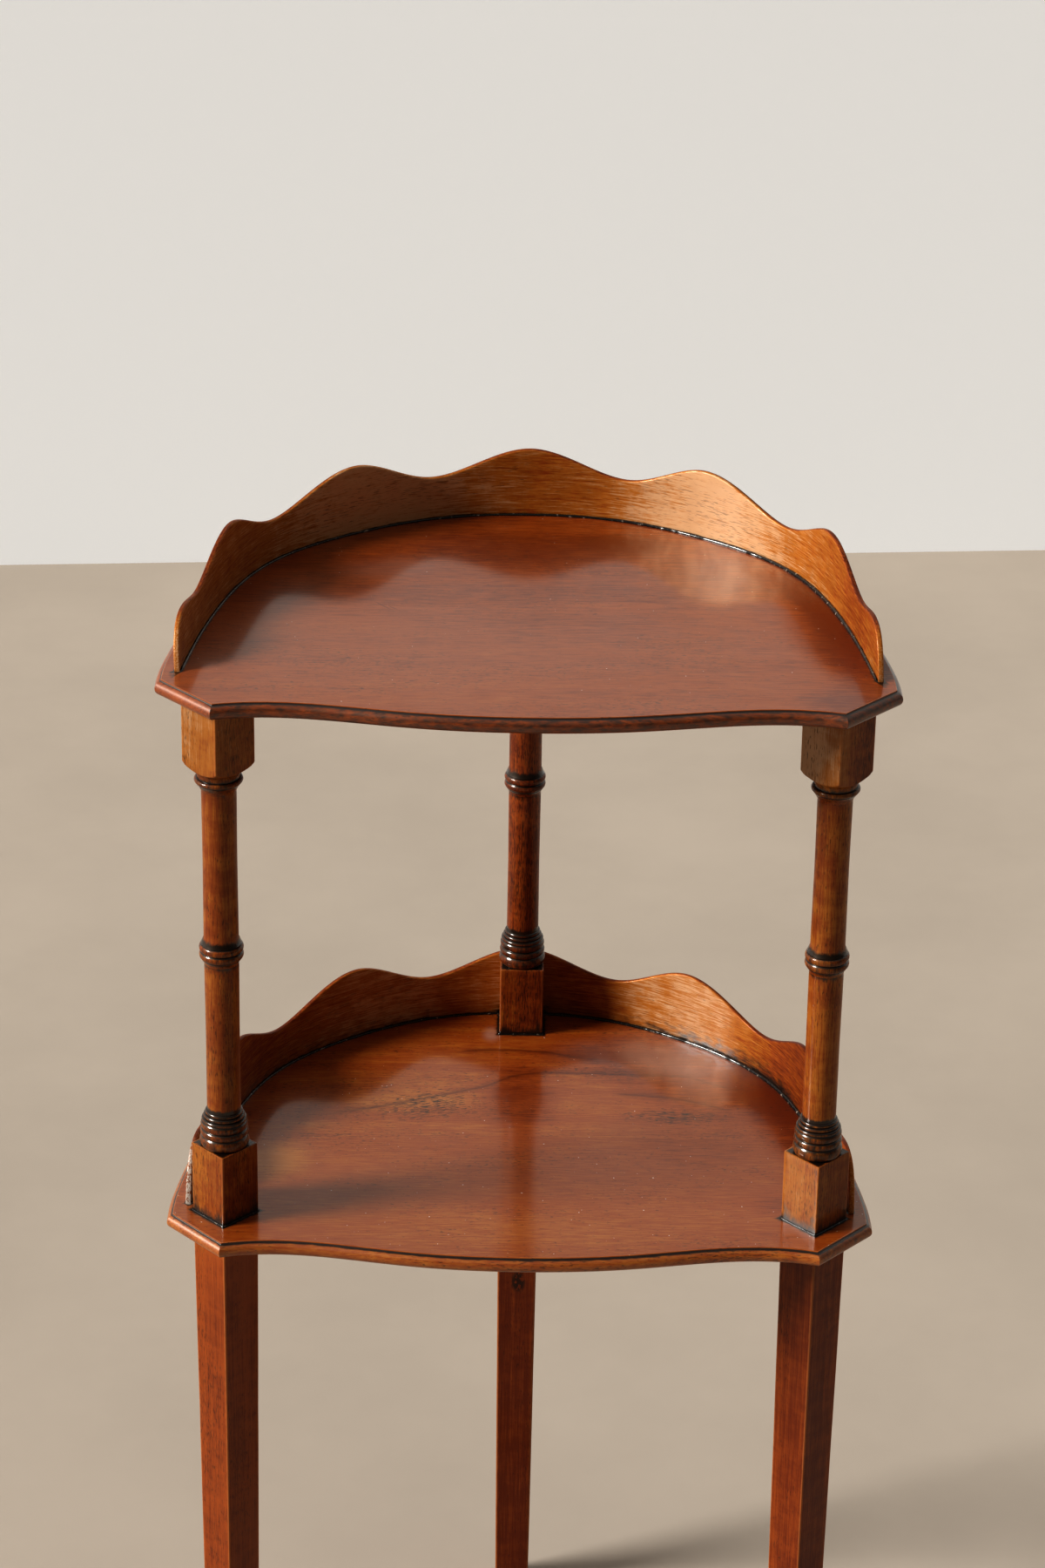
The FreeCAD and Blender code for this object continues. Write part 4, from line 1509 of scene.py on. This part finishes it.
# Places on each shelf: (x, y, reach along, reach across, lean, how much). patches are lighter or
# darker places, mostly in the wood and some of them painted light and shade; the hazy places are
# partly dust and partly painted sheen; and deeps have thin clear polish.
SHELF_PLACES = {
    "top": dict(
        patches=[
            (20.0, -25.0, 130.0, 32.0, -3.0, -0.10), (0.0, 90.0, 90.0, 40.0, 0.0, -0.18),
            (184.0, -50.0, 34.0, 84.0, 12.0, -0.36), (174.0, 0.0, 22.0, 72.0, 18.0, -0.30),
            (112.0, 55.0, 50.0, 46.0, -30.0, -0.16), (-60.0, -120.0, 130.0, 34.0, 4.0, 0.08),
            (168.0, 32.0, 26.0, 46.0, 20.0, -0.52), (44.0, 4.0, 50.0, 6.0, 2.0, 0.16),
            (58.0, 98.0, 44.0, 24.0, -12.0, -0.26), (178.0, -128.0, 40.0, 34.0, -30.0, -0.30),
            (-85.0, 0.0, 9.0, 0.6, -50.0, -0.7), (-79.0, -3.0, 5.0, 0.5, -42.0, -0.6),
            (-24.5, 32.6, 4.0, 0.6, 8.0, -0.8), (38.0, -8.0, 2.0, 0.7, 30.0, -0.7)],
        # The hazy places are painted sheen, standing in for the reflection of the bright gallery
        # and backdrop.
        dust_and_sheen_places=[
            (112.0, 56.0, 74.0, 46.0, -38.0, 0.24), (-84.0, 58.0, 44.0, 24.0, 20.0, 0.12),
            (-70.0, -60.0, 190.0, 90.0, 0.0, 0.07)],
        deeps=[
            (178.0, -40.0, 40.0, 110.0, 14.0, 0.85), (-180.0, -20.0, 36.0, 90.0, -14.0, 0.7),
            (-158.0, 50.0, 40.0, 70.0, -30.0, 0.5)]),
    "lower": dict(
        patches=[
            (105.0, 66.0, 110.0, 50.0, -26.0, -0.42), (174.0, 0.0, 34.0, 84.0, 18.0, -0.42),
            # The first is a painted reflection: a darker stripe down the middle where the back
            # upright is mirrored in the shelf.
            (0.0, 36.0, 32.0, 66.0, 0.0, -0.30), (150.0, 56.0, 28.0, 44.0, 24.0, -0.46),
            (96.0, 96.0, 54.0, 26.0, -24.0, -0.16), (108.0, -4.0, 64.0, 70.0, 0.0, -0.16),
            # The second is painted light over the shadow that the left block casts on the shelf.
            (-70.0, 34.0, 60.0, 26.0, 8.0, 0.22), (-150.0, -45.0, 32.0, 32.0, 0.0, 0.44),
            (156.0, -92.0, 30.0, 18.0, 0.0, -0.22), (40.0, 92.0, 50.0, 18.0, -8.0, -0.22),
            (30.0, -45.0, 170.0, 30.0, -3.0, -0.10), (0.0, -130.0, 150.0, 34.0, 0.0, 0.12)],
        # The hazy places are painted sheen standing in for reflected light; the small one behind
        # the back block is dust.
        dust_and_sheen_places=[
            (98.0, 86.0, 70.0, 42.0, -30.0, 0.36), (-19.0, 116.0, 8.0, 14.0, 0.0, 0.45),
            (50.0, 95.0, 40.0, 24.0, 0.0, 0.16)],
        deeps=[(170.0, 10.0, 40.0, 90.0, 16.0, 0.75), (0.0, 34.0, 26.0, 56.0, 0.0, 0.4)]),
}
# The pale residue at the left end of the lower gallery
CRUSTS = {"top": [], "lower": [(-199.0, -96.0, 12.0, 34.0, 8.0, 1.0)]}
# The wood of each board, the polish of all four, and the wood and polish of the other pieces
BOARD_LOOKS = {
    "top_front": dict(light=0.40, ring=0.012, waviness=0.012, pores=0.34, bands=0.10, ribbon=0.06),
    "top_back": dict(light=0.30, ring=0.010, waviness=0.010, pores=0.30, bands=0.10, ribbon=0.06),
    "lower_front": dict(
        light=0.53, ring=0.012, waviness=0.010, pores=0.32, bands=0.12, ribbon=0.06),
    "lower_back": dict(
        light=0.57, ring=0.0065, waviness=0.012, pores=0.36, bands=0.20, ribbon=0.08, veins=VEINS,
        clusters=CLUSTERS),
}
SHELF_POLISH = dict(
    coat=1.0, satin=0.35, clear=0.125, fibres=0.42, fibre_run=60.0, pore_run=300.0,
    pore_count=1250.0, pore_dark=0.55)
NOSE_LIGHT = {"top": 0.40, "lower": 0.53}
NOSE_LOOK = dict(
    ring=0.008, waviness=0.010, pores=0.42, pore_run=300.0, pore_count=1250.0, pore_dark=0.6,
    gloss=0.37, bands=0.14, fibres=0.4, fibre_run=80.0, coat=0.5, satin=0.8, clear=0.34,
    dust=0.1, tint=(1.0, 0.84, 0.74))
GALLERY_LOOK = dict(
    light=0.77, ring=0.004, waviness=0.004, pores=0.30, pore_run=170.0, pore_count=1900.0,
    pore_dark=0.42, gloss=0.50, bands=0.22, fibres=0.8, fibre_run=75.0, fibre_count=1250.0,
    ribbon=0.32, dust=0.1, coat=0.17, satin=0.36, silk=0.25)
# The right front upright is set lighter than the left one: painted light over the shade that the
# top shelf casts on it. The back upright is darker wood.
UPRIGHT_WOOD_AND_LIGHT = {"left_front": dict(light=0.62, film=0.27),
                "right_front": dict(light=0.73, film=0.27), "back": dict(light=0.33, film=0.13)}
UPRIGHT_LOOK = dict(
    ring=0.004, waviness=0.003, pores=0.42, pore_run=230.0, pore_count=1500.0, pore_dark=0.6,
    gloss=0.46, bands=0.22, fibres=0.55, fibre_run=55.0, fibre_count=1250.0, ribbon=0.34,
    wear=0.25, dust=0.1, coat=0.3, satin=0.3)
LEG_WOOD = {"left_front": dict(light=0.32), "right_front": dict(light=0.20),
            "back": dict(light=0.14, smudges=[(1.0, 118.0, 246.0, 6.0, 10.0)])}
LEG_LOOK = dict(
    ring=0.005, waviness=0.004, pores=0.36, pore_run=230.0, pore_count=1500.0, pore_dark=0.5,
    gloss=0.40, bands=0.20, fibres=0.30, fibre_run=30.0, fibre_count=1250.0, wear=0.40, dust=0.1,
    coat=0.4, satin=0.2)


class SIDETABLE_OT_shelves(bpy.types.Operator):
    """Build both shelves, each of two boards with a moulded edge."""

    bl_idname = "sidetable.shelves"
    bl_label = "Build Shelves"

    def execute(self, context):
        shifts = {
            "top": {"front": (120, 30, 46), "back": (-410, 18, 70)},
            "lower": {"front": (730, 64, 58), "back": (-90, -38, 33)},
        }
        for tier, surface in (("top", TOP_SURFACE), ("lower", LOWER_SURFACE)):
            blocks, film = (COLUMNS, 0.17) if tier == "lower" else ([], 0.50)
            boards = shelf_boards(tier.title(), surface, SEAM_Y[tier], shifts[tier], blocks, film)
            nose = mahogany("Nose_" + tier, light=NOSE_LIGHT[tier], **NOSE_LOOK)
            for part, piece in boards.items():
                look = mahogany(f"Shelf_{tier}_{part}", **BOARD_LOOKS[f"{tier}_{part}"],
                                **SHELF_PLACES[tier], **SHELF_POLISH)
                hand_over(piece, [f"{tier}_shelf_{part}_board"], look)
                piece.data.materials.append(nose)
        return {"FINISHED"}


class SIDETABLE_OT_galleries(bpy.types.Operator):
    """Bend the two scalloped galleries round the backs of the shelves."""

    bl_idname = "sidetable.galleries"
    bl_label = "Build Galleries"

    def execute(self, context):
        growth = settings().gallery.lower_growth
        looks = [mahogany("Gallery_" + tier, crusts=CRUSTS[tier], **GALLERY_LOOK)
                 for tier in ("top", "lower")]
        upper = gallery_piece(
            "Top_gallery_strip", TOP_SURFACE, 1.0, (3.8, 0.3), (0, 210, 40), 3, False,
            STRIP_TONE_AND_LIGHT["top"])
        lower = gallery_piece(
            "Lower_gallery_strip", LOWER_SURFACE, growth, (0.4, 1.6), (910, 140, 66), 4, True,
            STRIP_TONE_AND_LIGHT["lower"])
        hand_over(upper, ["top_gallery"], looks[0])
        hand_over(lower, ["lower_gallery"], looks[1])
        return {"FINISHED"}


class SIDETABLE_OT_uprights(bpy.types.Operator):
    """Turn the three uprights, each from one square bar."""

    bl_idname = "sidetable.uprights"
    bl_label = "Build Uprights"

    def execute(self, context):
        rows = column_rows()
        for i, column in enumerate(COLUMNS):
            look = mahogany("Turned_" + column, **UPRIGHT_WOOD_AND_LIGHT[column], **UPRIGHT_LOOK)
            piece = bar_piece(
                column.title() + "_turned_upright", column, rows, (310 * i, 22 + 9 * i, 14),
                20 + i, 0.006, UPRIGHT_TONES, UPRIGHT_SIDE_LIGHT[column])
            hand_over(piece, [column + "_upright"], look)
        return {"FINISHED"}


class SIDETABLE_OT_legs(bpy.types.Operator):
    """Plane the three tapered legs."""

    bl_idname = "sidetable.legs"
    bl_label = "Build Legs"

    def execute(self, context):
        rows = leg_rows()
        for i, column in enumerate(COLUMNS):
            look = mahogany("Leg_" + column, **LEG_WOOD[column], **LEG_LOOK)
            piece = bar_piece(
                column.title() + "_tapered_leg", column, rows, (270 * i + 90, 26 - 8 * i, 19),
                30 + i, 0.008, LEG_TONES[column], EVEN)
            hand_over(piece, [column + "_leg"], look)
        return {"FINISHED"}


class SIDETABLE_OT_wax(bpy.types.Operator):
    """Lay the dark wax along the galleries and round the blocks."""

    bl_idname = "sidetable.wax"
    bl_label = "Lay Wax"

    def execute(self, context):
        width = settings().column.wax / MM
        thickness = settings().gallery.thickness / MM
        look = joint_wax("Joint_wax")
        for tier, surface in (("Top", TOP_SURFACE), ("Lower", LOWER_SURFACE)):
            inner = gallery_bead(tier + "_inner_wax", surface, -0.3 * width, width, 41)
            outer = gallery_bead(
                tier + "_outer_wax", surface, thickness + 0.15 * width, 0.55 * width, 42)
            hand_over(inner, [], look)
            hand_over(outer, [], look)
        for i, column in enumerate(COLUMNS):
            foot = block_bead(column.title() + "_foot_wax", column, 0.65 * width, 50 + i)
            hand_over(foot, [], look)
        return {"FINISHED"}


class SIDETABLE_OT_joinery(bpy.types.Operator):
    """Finish the dowels and the gallery pins."""

    bl_idname = "sidetable.joinery"
    bl_label = "Finish Joinery"

    def execute(self, context):
        beech = plain_wood("Dowel_beech")
        steel = pin_metal("Pin_steel")
        for name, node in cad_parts.items():
            if name.endswith("_dowel"):
                node.material_slots[0].material = beech
            elif name.endswith("_pins"):
                node.material_slots[0].material = steel
        return {"FINISHED"}


class SIDETABLE_OT_stage(bpy.types.Operator):
    """Set up the floor, the backdrop, the lights and the camera."""

    bl_idname = "sidetable.stage"
    bl_label = "Set Stage"

    def execute(self, context):
        studio = settings().studio
        reach = STAGE_REACH
        ground = stage_sheet(
            "Floor",
            [(-reach, -reach, 0), (reach, -reach, 0), (reach, reach, 0), (-reach, reach, 0)])
        ground.data.materials.append(floor_finish(studio))
        left, right = WALL_Y - reach * WALL_TURN, WALL_Y + reach * WALL_TURN
        wall = stage_sheet("Backdrop", [
            (-reach, left, -1), (reach, right, -1), (reach, right, WALL_TOP),
            (-reach, left, WALL_TOP)])
        wall.data.materials.append(wall_finish(studio))
        light_room(context.scene, studio)
        aim_camera(context.scene, studio)
        return {"FINISHED"}


class SIDETABLE_PT_panel(bpy.types.Panel):
    """Lists the steps that build the side table."""

    bl_idname = "SIDETABLE_PT_panel"
    bl_label = "Side Table"
    bl_space_type = "VIEW_3D"
    bl_region_type = "UI"
    bl_category = "Side Table"

    def draw(self, context):
        for step in STEPS:
            self.layout.operator(step.bl_idname)


STEPS = [
    SIDETABLE_OT_stage,
    SIDETABLE_OT_shelves,
    SIDETABLE_OT_galleries,
    SIDETABLE_OT_uprights,
    SIDETABLE_OT_legs,
    SIDETABLE_OT_wax,
    SIDETABLE_OT_joinery,
]
CLASSES = [
    ShelfSettings,
    GallerySettings,
    ColumnSettings,
    FinishSettings,
    StudioSettings,
    SideTableSettings,
    *STEPS,
    SIDETABLE_PT_panel,
]


def register():
    for made in CLASSES:
        bpy.utils.register_class(made)
    bpy.types.Scene.side_table = PointerProperty(type=SideTableSettings)


def unregister():
    del bpy.types.Scene.side_table
    for made in reversed(CLASSES):
        bpy.utils.unregister_class(made)


def main():
    """Registers the add-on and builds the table."""
    register()
    bpy.ops.sidetable.stage()
    bpy.ops.sidetable.shelves()
    bpy.ops.sidetable.galleries()
    bpy.ops.sidetable.uprights()
    bpy.ops.sidetable.legs()
    bpy.ops.sidetable.wax()
    bpy.ops.sidetable.joinery()


if __name__ == "__main__":
    main()
